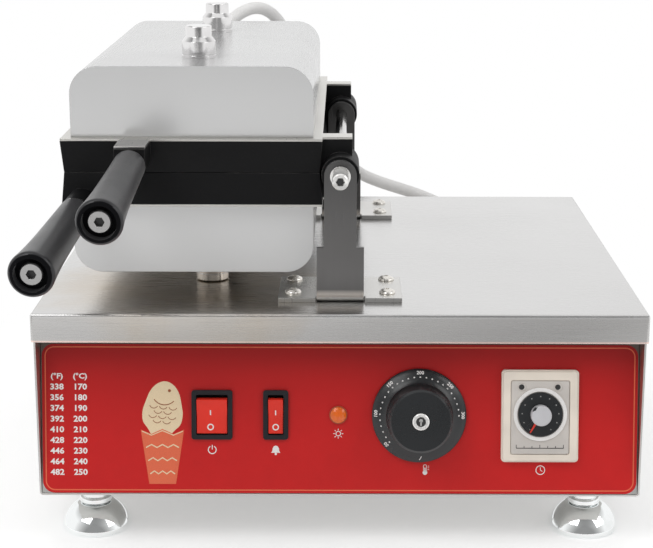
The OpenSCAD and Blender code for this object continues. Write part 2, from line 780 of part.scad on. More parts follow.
// Depth of a fish cavity under the parting face, a share t of the way from mouth to tail root
function fish_depth(t) = mouth_depth + (tail_depth - mouth_depth) * t + belly_depth * sin(180 * pow(t, 0.85));

// Round body about an axis above the parting face; extra deepens it all over, taper its far end less
module fish_revolve(extra, len, taper = 0) {
    profile = [for (i = [0 : fish_steps])
        let (t = i / fish_steps * len / body_len)
        [body_round + extra + fish_depth(t) - taper * i / fish_steps, i / fish_steps * len]];
    translate([0, 0, mould_z0 - body_round]) rotate([0, 90, 0])
        rotate_extrude($fn = 96) polygon(concat([[0, 0]], profile, [[0, len]]));
}

// Outline of the fins and the tail, seen from the parting face, with the mouth at x = 0
module fin_outline() {
    fin(36, 28, 46, 17, 12);
    mirror([0, 1]) fin(30, 27, 26, 13, 9);
    mirror([0, 1]) fin(68, 18, 22, 13, 7);
    tail_outline();
}

// A fin that starts at x, rises from the body at y, and leans to the tail
module fin(x, y, len, rise, lean) {
    polygon([[x, y - 12], [x - 1, y + 2], [x + lean, y + rise * 0.8], [x + len * 0.6 + lean, y + rise],
        [x + len + lean, y + rise * 0.55], [x + len + 2, y - 12]]);
}

module tail_outline() {
    tip = body_len + tail_len;
    upper = [[body_len - 8, 11], [body_len + 8, 15], [body_len + 20, 30], [tip - 4, 37], [tip - 9, 14]];
    polygon(concat(upper, [[tip - 15, 0]], [for (i = [4 : -1 : 0]) [upper[i][0], -upper[i][1]]]));
}

// Ribs left standing in the fins and the tail
module fin_ribs() {
    for (i = [0 : 4]) translate([42 + i * 9, 26]) rotate(62 - i * 3) square([26, 1.6]);
    for (i = [0 : 2]) translate([36 + i * 8, -24]) rotate(-60) square([22, 1.6]);
    for (i = [0 : 2]) translate([73 + i * 6, -16]) rotate(-56) square([20, 1.6]);
    for (a = [-44 : 11 : 44]) translate([body_len - 6, 0]) rotate(a) translate([12, -0.8]) square([34, 1.6]);
}

// Rows of scales, the gill line and the ring round the eye, seen from the parting face
module scale_lines() {
    pitch_x = scale_r * 1.45;
    pitch_y = scale_r * 1.8;
    for (i = [0 : 4], j = [-3 : 3]) {
        x = 55 + i * pitch_x;
        y = (j + (i % 2) * 0.5) * pitch_y;
        if (abs(y) + scale_r < 32 - i * 3) translate([x, y]) arc_line(scale_r, 80);
    }
    translate([20, 0]) arc_line(29, 50);
    translate([eye_x, eye_y]) arc_line(5.2, 180);
}

// A ring or part of one, line_w wide, open towards the mouth
module arc_line(r, half_angle) {
    intersection() {
        difference() {
            circle(r + line_w / 2);
            circle(r - line_w / 2);
        }
        if (half_angle < 180) {
            polygon([[0, 0], for (k = [-4 : 4], a = k * half_angle / 4) 2 * r * [cos(a), sin(a)]]);
        } else {
            circle(2 * r);
        }
    }
}

// Solid that a fish cavity is cut with
module fish_cutter() {
    difference() {
        union() {
            intersection() {
                fish_revolve(0, body_len);
                translate([0, -50, 0]) cube([body_len, 100, mould_z1 - 1.5]);
            }
            translate([0, 0, -1]) linear_extrude(fin_deep + 1 + mould_z0) fin_outline();
            intersection() {
                fish_revolve(line_w, body_len);
                linear_extrude(mould_z1) scale_lines();
            }
            intersection() {
                fish_revolve(2 * line_w, body_len);
                translate([eye_x, eye_y, 0]) cylinder(d = 5.4, h = mould_z1);
            }
        }
        mouth_core();
        translate([0, 0, mould_z0 + fin_deep - fin_rib_h]) linear_extrude(fin_rib_h + 1) difference() {
            fin_ribs();
            translate([0, -24]) square([body_len - 4, 48]);
        }
    }
}

// Core that stands on the cavity's end wall and leaves the mouth of the cake open
module mouth_core() {
    intersection() {
        fish_revolve(-mouth_wall, core_len, 4);
        translate([-1, -50, -1]) cube([core_len + 1, 100, mould_z1]);
    }
}

// A hinge lug with its knuckle and shaft bore
module mould_lug(y, knuckle_from) {
    translate([mould_right - 6, y, mould_z0]) cube([lug_right - mould_right + 6, lug_t, mould_t]);
    translate([0, knuckle_from, 0]) rotate([-90, 0, 0]) cylinder(d = knuckle_d, h = y + lug_t - knuckle_from);
}

// Lug at the front of a mould that carries a grip, with a root inside the casting
module mould_arm(x, z, flat_top) {
    translate([x, mould_front - 0.1, 0]) rotate([90, 0, 0]) linear_extrude(arm_len + 3)
        arm_profile(z, flat_top);
    translate([x, mould_front + 4, 0]) rotate([90, 0, 0]) linear_extrude(5) intersection() {
        arm_profile(z, flat_top);
        translate([-arm_r, mould_z0]) square([2 * arm_r, mould_t]);
    }
}

module arm_profile(z, flat_top) {
    translate([0, z]) circle(arm_r);
    if (flat_top) translate([-arm_r, z]) square([2 * arm_r, mould_z1 - z]);
}

// Cuts the end of a lug square to its grip and drills it for the grip bolt
module arm_cut(x, z, splay) {
    grip_line(x, z, splay) {
        cylinder(d = 60, h = 20);
        translate([0, 0, -22]) cylinder(d = bolt_d + 2 * press_gap, h = 30);
    }
}

// Stands on the end of a lug and points along the grip
module grip_line(x, z, splay) {
    translate([x, arm_front, z]) rotate([0, 0, -splay]) rotate([90 + grip_lean, 0, 0]) children();
}

// One mould half; the shaft bores and the fish cavities are cut last
module mould_half(lug_y, knuckle_y0) {
    difference() {
        union() {
            mould_block();
            for (i = [0, 1]) mould_lug(lug_y[i], knuckle_y0[i]);
            children();
        }
        for (i = [0, 1]) translate([0, knuckle_y0[i] - 1, 0]) rotate([-90, 0, 0])
            cylinder(d = shaft_d + 2 * shaft_fit, h = lug_y[i] + lug_t - knuckle_y0[i] + 2);
        for (y = fish_y) translate([fish_mouth_x, y, 0]) fish_cutter();
    }
}

module lower_mould() {
    color("dimgray") difference() {
        lower_half() mould_half(lower_lug_y, lower_lug_y) mould_arm(lower_grip_x, -lower_grip_z, false);
        placed() translate([0, 0, pivot_z]) arm_cut(lower_grip_x, lower_grip_z, grip_splay);
    }
}

module upper_mould() {
    color("dimgray") upper_half() difference() {
        mould_half(upper_lug_y, knuckle_y) mould_arm(upper_grip_x, upper_grip_z, true);
        arm_cut(upper_grip_x, upper_grip_z, upper_splay);
    }
}

// Steel plate on the outer face of a mould, with tabs over the hinge lugs
module half_plate(lug_y) {
    translate([mould_left, mould_front, mould_z1]) cube([mould_w, mould_len, plate_t]);
    for (y = lug_y) translate([mould_right - 1, y, mould_z1])
        cube([lug_right - mould_right + 1, lug_t, plate_t]);
    children();
}

module lower_plate() { color("lightgray") lower_half() half_plate(lower_lug_y); }

module upper_plate() {
    color("lightgray") upper_half() half_plate(upper_lug_y)
        translate([upper_grip_x - arm_r, arm_front + 1.2, mould_z1]) cube([2 * arm_r, arm_len, plate_t]);
}

// Bent tubular heater that lies on the plate
module half_heater() {
    bend_y = cover_front + 12 + heater_r;
    color("darkslategray") translate([cover_x, 0, plate_z1 + heater_d / 2]) {
        for (s = [-1, 1]) translate([s * heater_r, bend_y, 0]) rotate([-90, 0, 0]) {
            cylinder(d = heater_d, h = heater_back - bend_y);
            cylinder(d = 3, h = heater_back - bend_y + 14);
        }
        translate([0, bend_y, 0]) rotate(180) rotate_extrude(angle = 180)
            translate([heater_r, 0]) circle(d = heater_d);
    }
}

module lower_heater() { lower_half() half_heater(); }

module upper_heater() { upper_half() half_heater(); }

// Shape under a cover, drawn back from its outside by inset
module cover_solid(inset, z0, y0, y1) {
    w = cover_w - 2 * inset;
    h = cover_z1 - inset - z0;
    translate([cover_left + inset, y1, z0])
        rotate([90, 0, 0]) linear_extrude(y1 - y0) fold_profile(w, h, cover_r - inset);
}

// Board of heat insulation between the heater and the cover
module half_insulation(post_x) {
    front = cover_front + cover_t + seat_gap;
    color("khaki") difference() {
        cover_solid(cover_t + seat_gap, plate_z1 + heater_d + seat_gap, front, cover_back - 24);
        stud_holes(post_x, 2 * slip_gap);
    }
}

// Holes for the studs of the posts
module stud_holes(post_x, gap) {
    for (y = post_y) translate([post_x, y, cover_z1 - post_stud_len - 1])
        cylinder(d = post_stud_d + gap, h = post_stud_len + 2);
}

module lower_insulation() { lower_half() half_insulation(lower_post_x); }

module upper_insulation() { upper_half() half_insulation(upper_post_x); }

// Steel cover folded over a mould, with round long edges and flat ends
module half_cover(post_x) {
    difference() {
        cover_solid(0, plate_z1, cover_front, cover_back);
        cover_solid(cover_t, plate_z1 - 1, cover_front + cover_t, cover_back - cover_t);
        stud_holes(post_x, slip_gap);
    }
}

module cover_gland_hole(point) {
    placed() translate([point[0], cover_back - 5, lid_z + point[2]]) rotate([-90, 0, 0])
        cylinder(d = gland_thread_d + slip_gap, h = 10);
}

module lower_cover() {
    color("gainsboro") difference() {
        lower_half() half_cover(lower_post_x);
        cover_gland_hole(jumper_route[len(jumper_route) - 1]);
        cover_gland_hole(base_route[0]);
    }
}

module upper_cover() {
    color("gainsboro") difference() {
        upper_half() half_cover(upper_post_x);
        cover_gland_hole(jumper_route[0]);
    }
}

// Turned posts that a half stands on, each with a groove and with a stud through the cover
module half_posts(post_x, outline, groove_z) {
    color("white") for (y = post_y) translate([post_x, y, cover_z1]) {
        rotate_extrude() difference() {
            polygon(outline);
            translate([post_d / 2 - 0.5, groove_z]) square([2, 0.8]);
        }
        translate([0, 0, -post_stud_len]) cylinder(d = post_stud_d, h = post_stud_len + 1);
    }
}

// Plain posts under the lower cover
module lower_posts() {
    r = post_d / 2;
    outline = [[0, 0], [r, 0], [r, post_h - 0.6], [r - 0.6, post_h], [0, post_h]];
    lower_half() half_posts(lower_post_x, outline, post_h - 5.5);
}

// Taller posts with a narrow head on the upper cover
module upper_posts() {
    r = post_d / 2;
    head_r = post_head_d / 2;
    h = upper_post_h;
    outline = [[0, 0], [r, 0], [r, h - 10], [head_r, h - 7], [head_r, h - 0.6], [head_r - 0.6, h], [0, h]];
    upper_half() half_posts(upper_post_x, outline, 2);
}

// Draw along the grip of the lower or of the upper half
module along_lower_grip() {
    placed() translate([0, 0, pivot_z]) grip_line(lower_grip_x, lower_grip_z, grip_splay) children();
}

module along_upper_grip() {
    placed() translate([0, 0, pivot_z]) grip_line(upper_grip_x, upper_grip_z, upper_splay) children();
}

module arm_washer() {
    color("silver") difference() {
        cylinder(d = grip_rear_d - 0.6, h = washer_t);
        translate([0, 0, -1]) cylinder(d = bolt_d + 2 * press_gap, h = washer_t + 2);
    }
}

module lower_arm_washer() { along_lower_grip() arm_washer(); }

module upper_arm_washer() { along_upper_grip() arm_washer(); }

// Radius of a grip, a share t of the way from its rear end
function grip_radius(t) = grip_rear_d / 2 + (grip_front_d - grip_rear_d) / 2 * (0.55 * t + 0.45 * pow(t, 5));

// Tapered grip with a round front edge and a seat for its bolt head
module grip() {
    front_r = grip_front_d / 2;
    color("black") translate([0, 0, washer_t]) rotate_extrude() difference() {
        union() {
            polygon([[0, 0], [grip_rear_d / 2 - 0.6, 0], for (i = [0 : grip_points]) let (t = i / grip_points)
                [grip_radius(t), 0.6 + t * (grip_len - grip_round - 0.6)], [0, grip_len - grip_round]]);
            translate([0, grip_len - grip_round - 0.01]) square([front_r - grip_round, grip_round + 0.01]);
            intersection() {
                translate([front_r - grip_round, grip_len - grip_round]) circle(grip_round);
                translate([front_r - grip_round - 0.01, grip_len - grip_round - 0.01]) square(grip_round + 1);
            }
        }
        square([bolt_d / 2 + slip_gap, grip_len + 1]);
        translate([0, grip_len - head_seat]) square([front_r - 3.6, head_seat + 1]);
    }
}

module lower_grip() { along_lower_grip() grip(); }

module upper_grip() { along_upper_grip() grip(); }

// Long socket screw through a grip into its lug
module grip_bolt() {
    head_z = washer_t + grip_len - head_seat;
    color("silver") difference() {
        union() {
            translate([0, 0, -20]) cylinder(d = bolt_d, h = head_z + 21);
            translate([0, 0, head_z]) rotate_extrude()
                polygon([[0, 0], [6.8, 0], [6.8, 3.2], [6.1, 4.2], [0, 4.2]]);
        }
        translate([0, 0, head_z + 1.4]) cylinder(d = 6, h = 5, $fn = 6);
    }
}

module lower_grip_bolt() { along_lower_grip() grip_bolt(); }

module upper_grip_bolt() { along_upper_grip() grip_bolt(); }

module cover_gland(point) {
    gland(point[0], lid_z + point[2], cover_back, point[1] - cover_back, 0);
}

module lower_glands() {
    cover_gland(jumper_route[len(jumper_route) - 1]);
    cover_gland(base_route[0]);
}

module upper_gland() { cover_gland(jumper_route[0]); }

function unit(v) = v / norm(v);
function heading(route, i) = unit(route[min(i + 1, len(route) - 1)] - route[max(i - 1, 0)]);
function square_to(v, along) = unit(v - (v * along) * along);

// Side vectors along a route, each carried on from the one before with no twist
function side_vectors(route, i, side) = i >= len(route) ? [] :
    let (next = square_to(side, heading(route, i))) concat([next], side_vectors(route, i + 1, next));

// Round tube along a route of points
module hose(route) {
    points = [for (p = route) [p[0], p[1], p[2] + lid_z]];
    side = side_vectors(points, 0, [1, 0, 0]);
    n = hose_sides;
    rings = [for (i = [0 : len(points) - 1], k = [0 : n - 1])
        let (across = cross(heading(points, i), side[i]), a = 360 * k / n)
        points[i] + hose_d / 2 * (cos(a) * side[i] + sin(a) * across)];
    walls = [for (i = [0 : len(points) - 2], k = [0 : n - 1], half = [0, 1])
        let (a = i * n + k, b = i * n + (k + 1) % n)
        half == 0 ? [a, a + n, b] : [b, a + n, b + n]];
    caps = [[for (k = [0 : n - 1]) k], [for (k = [n - 1 : -1 : 0]) (len(points) - 1) * n + k]];
    color("darkgray") placed() polyhedron(points = rings, faces = concat(walls, caps));
}

module jumper_hose() { hose(jumper_route); }

module base_hose() { hose(base_route); }

base_lid();
body_tray();
back_panel();
front_panel();
panel_overlay();
foot_front_left();
foot_front_right();
foot_rear_left();
foot_rear_right();
foot_nuts();
power_switch_body();
power_rocker();
alarm_switch_body();
alarm_rocker();
lamp_body();
lamp_lens();
thermostat();
temperature_dial();
dial_cap();
timer_case();
timer_face();
timer_dial();
alarm_buzzer();
terminal_block();
base_hose_gland();
cord_gland();
front_bracket();
rear_bracket();
bracket_screws();
hinge_shaft();
shaft_end_nuts();
shaft_collars();
lower_mould();
lower_plate();
lower_heater();
lower_insulation();
lower_cover();
lower_posts();
lower_arm_washer();
lower_grip();
lower_grip_bolt();
lower_glands();
upper_mould();
upper_plate();
upper_heater();
upper_insulation();
upper_cover();
upper_posts();
upper_arm_washer();
upper_grip();
upper_grip_bolt();
upper_gland();
jumper_hose();
base_hose();
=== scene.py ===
"""Dresses a two-sided fish-cake press: steel, castings, plastics, printed film, hoses, light and camera."""
import json
import logging
import math
from dataclasses import dataclass, field
from enum import Enum
from typing import Callable, Sequence

import bmesh
import bpy
from mathutils import Matrix, Vector


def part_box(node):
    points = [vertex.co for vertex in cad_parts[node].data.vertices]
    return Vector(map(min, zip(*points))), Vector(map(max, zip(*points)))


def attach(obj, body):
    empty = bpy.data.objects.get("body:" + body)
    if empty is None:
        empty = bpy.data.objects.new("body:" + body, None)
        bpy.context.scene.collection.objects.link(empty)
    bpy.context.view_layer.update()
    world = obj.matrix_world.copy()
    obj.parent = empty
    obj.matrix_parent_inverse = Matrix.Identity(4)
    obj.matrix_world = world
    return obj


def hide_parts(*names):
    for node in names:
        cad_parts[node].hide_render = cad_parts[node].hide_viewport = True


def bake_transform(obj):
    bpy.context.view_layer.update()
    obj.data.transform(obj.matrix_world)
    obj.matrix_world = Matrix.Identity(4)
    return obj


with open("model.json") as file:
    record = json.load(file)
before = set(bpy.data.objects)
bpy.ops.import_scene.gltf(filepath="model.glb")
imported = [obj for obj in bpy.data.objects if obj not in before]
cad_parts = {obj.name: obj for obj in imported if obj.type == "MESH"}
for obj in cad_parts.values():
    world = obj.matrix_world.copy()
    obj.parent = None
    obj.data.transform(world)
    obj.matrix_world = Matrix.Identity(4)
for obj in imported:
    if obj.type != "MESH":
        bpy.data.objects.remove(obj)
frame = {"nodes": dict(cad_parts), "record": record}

LOG = logging.getLogger("fish_cake_press")
MM = 0.001
ORIGIN_Y = -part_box("base_lid")[0].y / MM
LID_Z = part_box("base_lid")[1].z / MM
TRAY_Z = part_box("body_tray")[0].z / MM
LID_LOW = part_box("base_lid")[0].z
COVER_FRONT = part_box("upper_cover")[0].y
PIVOT_Z = sum(corner.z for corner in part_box("hinge_shaft")) / 2 / MM
Point = Sequence[float]
Socket = bpy.types.NodeSocket


def scaled(colour: Sequence[float], factor: float) -> tuple[float, ...]:
    """Lighten or darken a colour.

    Args:
        colour: The colour's channels.
        factor: What each channel is multiplied by.

    Returns:
        The changed colour.
    """
    return tuple(channel * factor for channel in colour)


class Axis(Enum):
    """Direction in which a surface is brushed or turned."""

    ALONG_X = (0.02, 1.0, 1.0)
    ALONG_Y = (1.0, 0.02, 1.0)
    ALONG_Z = (1.0, 1.0, 0.02)
    NONE = (1.0, 1.0, 1.0)


class Ink(Enum):
    """Print colours on the film, the dials and the rockers."""

    WHITE = (0.9, 0.88, 0.86)
    ORANGE = (0.85, 0.16, 0.07)
    CREAM = (0.9, 0.72, 0.47)
    BROWN = (0.35, 0.1, 0.03)
    # BLACK also paints shade: patches on the socket floors of the grip bolts and the shaft nut.
    BLACK = (0.03, 0.03, 0.03)
    RED = (0.75, 0.04, 0.02)
    GREY = (0.45, 0.45, 0.44)


class Nodes:
    """Builds the nodes of a shader tree."""

    def __init__(self, owner: bpy.types.Material | bpy.types.World) -> None:
        """Empty the tree of a material or of the world.

        Args:
            owner: The material or the world.
        """
        owner.use_nodes = True
        self.tree = owner.node_tree
        self.tree.nodes.clear()

    def node(self, kind: str, **settings: object) -> bpy.types.Node:
        """Add a node and set its properties.

        Args:
            kind: Blender's type name of the node.
            **settings: Properties of the node.

        Returns:
            The new node.
        """
        made = self.tree.nodes.new(kind)
        for key, value in settings.items():
            setattr(made, key, value)
        return made

    def link(self, start: Socket, end: Socket) -> None:
        """Join an output socket to an input socket."""
        self.tree.links.new(start, end)

    def along(self, axis: str) -> Socket:
        """Object coordinate along X, Y or Z."""
        split = self.node("ShaderNodeSeparateXYZ")
        self.link(self.node("ShaderNodeTexCoord").outputs["Object"], split.inputs[0])
        return split.outputs[axis]

    def coords(self, scale: Point = (1, 1, 1), turn: Point = (0, 0, 0), shift: Point = (0, 0, 0)) -> Socket:
        """Object coordinates through a Mapping node.

        Args:
            scale: Scale of the pattern on each axis.
            turn: Turn of the pattern in radians.
            shift: Move of the pattern in metres.

        Returns:
            The mapped vector.
        """
        source = self.node("ShaderNodeTexCoord")
        mapping = self.node("ShaderNodeMapping")
        mapping.inputs["Location"].default_value = shift
        mapping.inputs["Rotation"].default_value = turn
        mapping.inputs["Scale"].default_value = scale
        self.link(source.outputs["Object"], mapping.inputs["Vector"])
        return mapping.outputs[0]

    def noise(self, vector: Socket, scale: float, detail: float = 2.0, rough: float = 0.5) -> Socket:
        """Noise on a vector.

        Args:
            vector: Coordinates of the pattern.
            scale: Cells per metre of the coordinates.
            detail: Octaves of the noise.
            rough: Share of the fine octaves.

        Returns:
            The noise's value.
        """
        noise = self.node("ShaderNodeTexNoise")
        noise.inputs["Scale"].default_value = scale
        noise.inputs["Detail"].default_value = detail
        noise.inputs["Roughness"].default_value = rough
        self.link(vector, noise.inputs["Vector"])
        return noise.outputs[0]

    def span(self, value: Socket, low: float, high: float, from_low: float = 0.0, from_high: float = 1.0) -> Socket:
        """Map a value to another range, held within it.

        Args:
            value: The value to map.
            low: Result at from_low.
            high: Result at from_high.
            from_low: Start of the source range.
            from_high: End of the source range.

        Returns:
            The mapped value.
        """
        mapped = self.node("ShaderNodeMapRange", clamp=True)
        for name, number in (("From Min", from_low), ("From Max", from_high), ("To Min", low), ("To Max", high)):
            mapped.inputs[name].default_value = number
        self.link(value, mapped.inputs["Value"])
        return mapped.outputs[0]

    def ramp(self, value: Socket, *stops: tuple[float, Point]) -> Socket:
        """Colour ramp over a value.

        Args:
            value: The value to colour.
            *stops: Pairs of a position and a colour.

        Returns:
            The colour.
        """
        ramp = self.node("ShaderNodeValToRGB")
        elements = ramp.color_ramp.elements
        while len(elements) < len(stops):
            elements.new(0.5)
        for element, (position, colour) in zip(elements, stops):
            element.position = position
            element.color = (*colour, 1.0)
        self.link(value, ramp.inputs[0])
        return ramp.outputs[0]

    def blend(self, share: Socket, first: Point | Socket, second: Point | Socket) -> Socket:
        """Mix of two colours.

        Args:
            share: Share of the second colour.
            first: Colour at 0.
            second: Colour at 1.

        Returns:
            The mixed colour.
        """
        mix = self.node("ShaderNodeMix", data_type="RGBA")
        self.link(share, mix.inputs["Factor"])
        for socket, value in ((mix.inputs["A"], first), (mix.inputs["B"], second)):
            target = next(s for s in mix.inputs if s.name == socket.name and s.type == "RGBA")
            if isinstance(value, bpy.types.NodeSocket):
                self.link(value, target)
            else:
                target.default_value = (*value, 1.0)
        return next(s for s in mix.outputs if s.type == "RGBA")

    def maths(self, operation: str, first: Socket | float, second: Socket | float = 0.0) -> Socket:
        """A Math node on one or two values.

        Args:
            operation: Name of the operation.
            first: First value.
            second: Second value.

        Returns:
            The result.
        """
        made = self.node("ShaderNodeMath", operation=operation)
        for index, value in enumerate((first, second)):
            if isinstance(value, bpy.types.NodeSocket):
                self.link(value, made.inputs[index])
            else:
                made.inputs[index].default_value = value
        return made.outputs[0]


class Shader(Nodes):
    """Builds one material round a Principled shader."""

    def __init__(self, name: str) -> None:
        """Start an empty material.

        Args:
            name: Name of the material.
        """
        self.material = bpy.data.materials.new(name)
        super().__init__(self.material)
        self.principled = self.node("ShaderNodeBsdfPrincipled")
        self.link(self.principled.outputs[0], self.node("ShaderNodeOutputMaterial").inputs["Surface"])

    def put(self, socket: str, value: object) -> None:
        """Set a socket of the shader to a plain value, or link it to another node's socket.

        Args:
            socket: Name of the shader's input.
            value: A number, a colour or a node's output.
        """
        target = self.principled.inputs[socket]
        if isinstance(value, bpy.types.NodeSocket):
            self.link(value, target)
        elif isinstance(value, tuple) and len(value) == 3 and target.type == "RGBA":
            target.default_value = (*value, 1.0)
        else:
            target.default_value = value

    def bump(self, height: Socket, strength: float, distance: float, normal: Socket | None = None) -> Socket:
        """A bumped normal.

        Args:
            height: Height of the surface.
            strength: Strength of the bump.
            distance: Height of the value 1, in metres.
            normal: Normal to bump, or none for the surface's own.

        Returns:
            The normal.
        """
        bump = self.node("ShaderNodeBump")
        bump.inputs["Strength"].default_value = strength
        bump.inputs["Distance"].default_value = distance
        self.link(height, bump.inputs["Height"])
        if normal is not None:
            self.link(normal, bump.inputs["Normal"])
        return bump.outputs[0]

    def round_edges(self, radius: float) -> tuple[Socket, Socket]:
        """Rounded normal of the sharp edges and a mask of them.

        Args:
            radius: Radius of the edges in metres.

        Returns:
            The normal, and a mask that is 1 on an edge.
        """
        bevel = self.node("ShaderNodeBevel", samples=4)
        bevel.inputs["Radius"].default_value = radius
        geometry = self.node("ShaderNodeNewGeometry")
        dot = self.node("ShaderNodeVectorMath", operation="DOT_PRODUCT")
        self.link(bevel.outputs[0], dot.inputs[0])
        self.link(geometry.outputs["Normal"], dot.inputs[1])
        return bevel.outputs[0], self.span(dot.outputs["Value"], 1.0, 0.0, 0.75, 0.985)


@dataclass(frozen=True)
class Zone:
    """Part of a piece whose colour is changed between two places along an axis, in metres; used here to paint light,
    shade and reflections into the steel.
    """

    axis: str
    start: float
    end: float
    colour: Point


@dataclass(frozen=True)
class HeatTint:
    """Painted shade and reflection: a brownish darkening of the lid's steel under the heads, for their shadow and their
    dark reflection. Lengths are metres.
    """

    centre: Point
    reach: Point
    colour: Point

    def mask(self, made: Shader) -> Socket:
        """Mask of the painted shade.

        Args:
            made: Material that the nodes are added to.

        Returns:
            A value that is 1 in the middle of the painted shade and 0 outside it.
        """
        scale = tuple(1 / r for r in self.reach)
        spot = made.coords(scale, shift=tuple(-c * s for c, s in zip(self.centre, scale)))
        length = made.node("ShaderNodeVectorMath", operation="LENGTH")
        made.link(spot, length.inputs[0])
        cloud = made.span(made.noise(made.coords(), 14.0, 3.0, 0.6), -0.2, 0.2, 0.3, 0.7)
        return made.span(made.maths("ADD", length.outputs["Value"], cloud), 1.0, 0.0, 0.5, 1.15)


@dataclass(frozen=True)
class BrushedMetal:
    """Steel or aluminium with brush lines, soft smears, bright worn edges, and zones and a patch of painted light and
    shade.
    """

    name: str
    colour: Point
    roughness: float = 0.34
    axis: Axis = Axis.ALONG_X
    lines: float = 1400.0
    depth: float = 0.05
    smear: float = 0.05
    edge: float = 0.0006
    tint: Point | None = None
    metallic: float = 1.0
    zones: tuple[Zone, ...] = ()
    heat: HeatTint | None = None

    def material(self) -> bpy.types.Material:
        """Build the material.

        Returns:
            The finished material.
        """
        made = Shader(self.name)
        grain = made.noise(made.coords(self.axis.value), self.lines, 3.0, 0.6)
        cloud = made.noise(made.coords(), 9.0, 3.0, 0.55)
        normal, edges = made.round_edges(self.edge)
        deep = scaled(self.colour, 0.93)
        base = made.blend(made.span(grain, 0.0, 1.0, 0.3, 0.7), deep, self.colour)
        if self.tint is not None:
            base = made.blend(made.span(cloud, 0.0, 0.35, 0.42, 0.68), base, self.tint)
        # Painted light and shade: each zone blends in a lighter or darker tone.
        for zone in self.zones:
            base = made.blend(made.span(made.along(zone.axis), 0.0, 1.0, zone.start, zone.end), base, zone.colour)
        # Painted shade: the patch darkens the steel's colour under the heads.
        if self.heat is not None:
            base = made.blend(self.heat.mask(made), base, self.heat.colour)
        bright = tuple(min(1.0, c * 1.22) for c in self.colour)
        made.put("Base Color", made.blend(made.span(edges, 0.0, 0.8), base, bright))
        made.put("Metallic", self.metallic)
        rough = made.maths("ADD", made.span(grain, -0.04, 0.05, 0.3, 0.7), made.span(
            cloud, self.roughness - self.smear, self.roughness + self.smear, 0.3, 0.7))
        made.put("Roughness", rough)
        made.put("Normal", made.bump(grain, self.depth, 0.0004, normal))
        return made.material


@dataclass(frozen=True)
class Chrome:
    """Plated metal with faint hairlines and wiped-off haze."""

    name: str
    colour: Point = (0.82, 0.82, 0.83)
    roughness: float = 0.07
    edge: float = 0.0004

    def material(self) -> bpy.types.Material:
        """Build the material.

        Returns:
            The finished material.
        """
        made = Shader(self.name)
        hairs = made.noise(made.coords((1.0, 0.12, 1.0), (0.3, 0.2, 0.5)), 2600.0, 2.0, 0.6)
        haze = made.noise(made.coords(), 42.0, 3.0, 0.6)
        normal, _ = made.round_edges(self.edge)
        dull = scaled(self.colour, 0.86)
        made.put("Base Color", made.blend(made.span(haze, 0.0, 1.0, 0.45, 0.8), self.colour, dull))
        made.put("Metallic", 1.0)
        made.put("Roughness", made.span(haze, self.roughness, self.roughness + 0.09, 0.4, 0.75))
        made.put("Normal", made.bump(hairs, 0.03, 0.0003, normal))
        return made.material


@dataclass(frozen=True)
class MouldedPlastic:
    """Moulded plastic with spark-eroded grain, slight mottling and rubbed edges."""

    name: str
    colour: Point
    roughness: float = 0.4
    grain: float = 1500.0
    depth: float = 0.12
    edge: float = 0.0006
    rub: float = 1.35
    coat: float = 0.0
    sheen: float = 0.0
    specular: float = 0.5

    def material(self) -> bpy.types.Material:
        """Build the material.

        Returns:
            The finished material.
        """
        made = Shader(self.name)
        pores = made.noise(made.coords(), self.grain, 4.0, 0.62)
        cloud = made.noise(made.coords(), 28.0, 3.0, 0.55)
        normal, edges = made.round_edges(self.edge)
        deep = scaled(self.colour, 0.86)
        lift = tuple(min(1.0, c * self.rub + 0.006) for c in self.colour)
        base = made.blend(made.span(cloud, 0.0, 1.0, 0.35, 0.65), deep, self.colour)
        made.put("Base Color", made.blend(made.span(edges, 0.0, 0.7), base, lift))
        made.put("Roughness", made.maths("ADD", made.span(pores, -0.03, 0.05, 0.3, 0.7), made.span(
            cloud, self.roughness - 0.05, self.roughness + 0.05, 0.3, 0.7)))
        made.put("Coat Weight", self.coat)
        made.put("Specular IOR Level", self.specular)
        made.put("Sheen Weight", self.sheen)
        made.put("Sheen Roughness", 0.4)
        made.put("Normal", made.bump(pores, self.depth, 0.0003, normal))
        return made.material


@dataclass(frozen=True)
class PrintedFilm:
    """Red film with a screen-printed colour, a soft gloss, a faint orange-peel surface and a painted shadow that
    deepens it towards the top.
    """

    name: str
    colour: Point
    deep: Point

    def material(self) -> bpy.types.Material:
        """Build the material.

        Returns:
            The finished material.
        """
        made = Shader(self.name)
        mottle = made.noise(made.coords(), 60.0, 5.0, 0.7)
        screen = made.noise(made.coords(), 2200.0, 2.0, 0.5)
        # Painted shadow: the colour turns to the deep red towards the top, under the lid's overhang.
        height = made.span(made.along("Z"), 0.0, 1.0, 0.07, 0.13)
        body = made.blend(made.span(mottle, 0.0, 1.0, 0.3, 0.7), self.colour, scaled(self.colour, 0.93))
        made.put("Base Color", made.blend(height, body, self.deep))
        made.put("Roughness", made.span(screen, 0.3, 0.4, 0.3, 0.7))
        made.put("Specular IOR Level", 0.3)
        made.put("Normal", made.bump(mottle, 0.05, 0.0004))
        return made.material


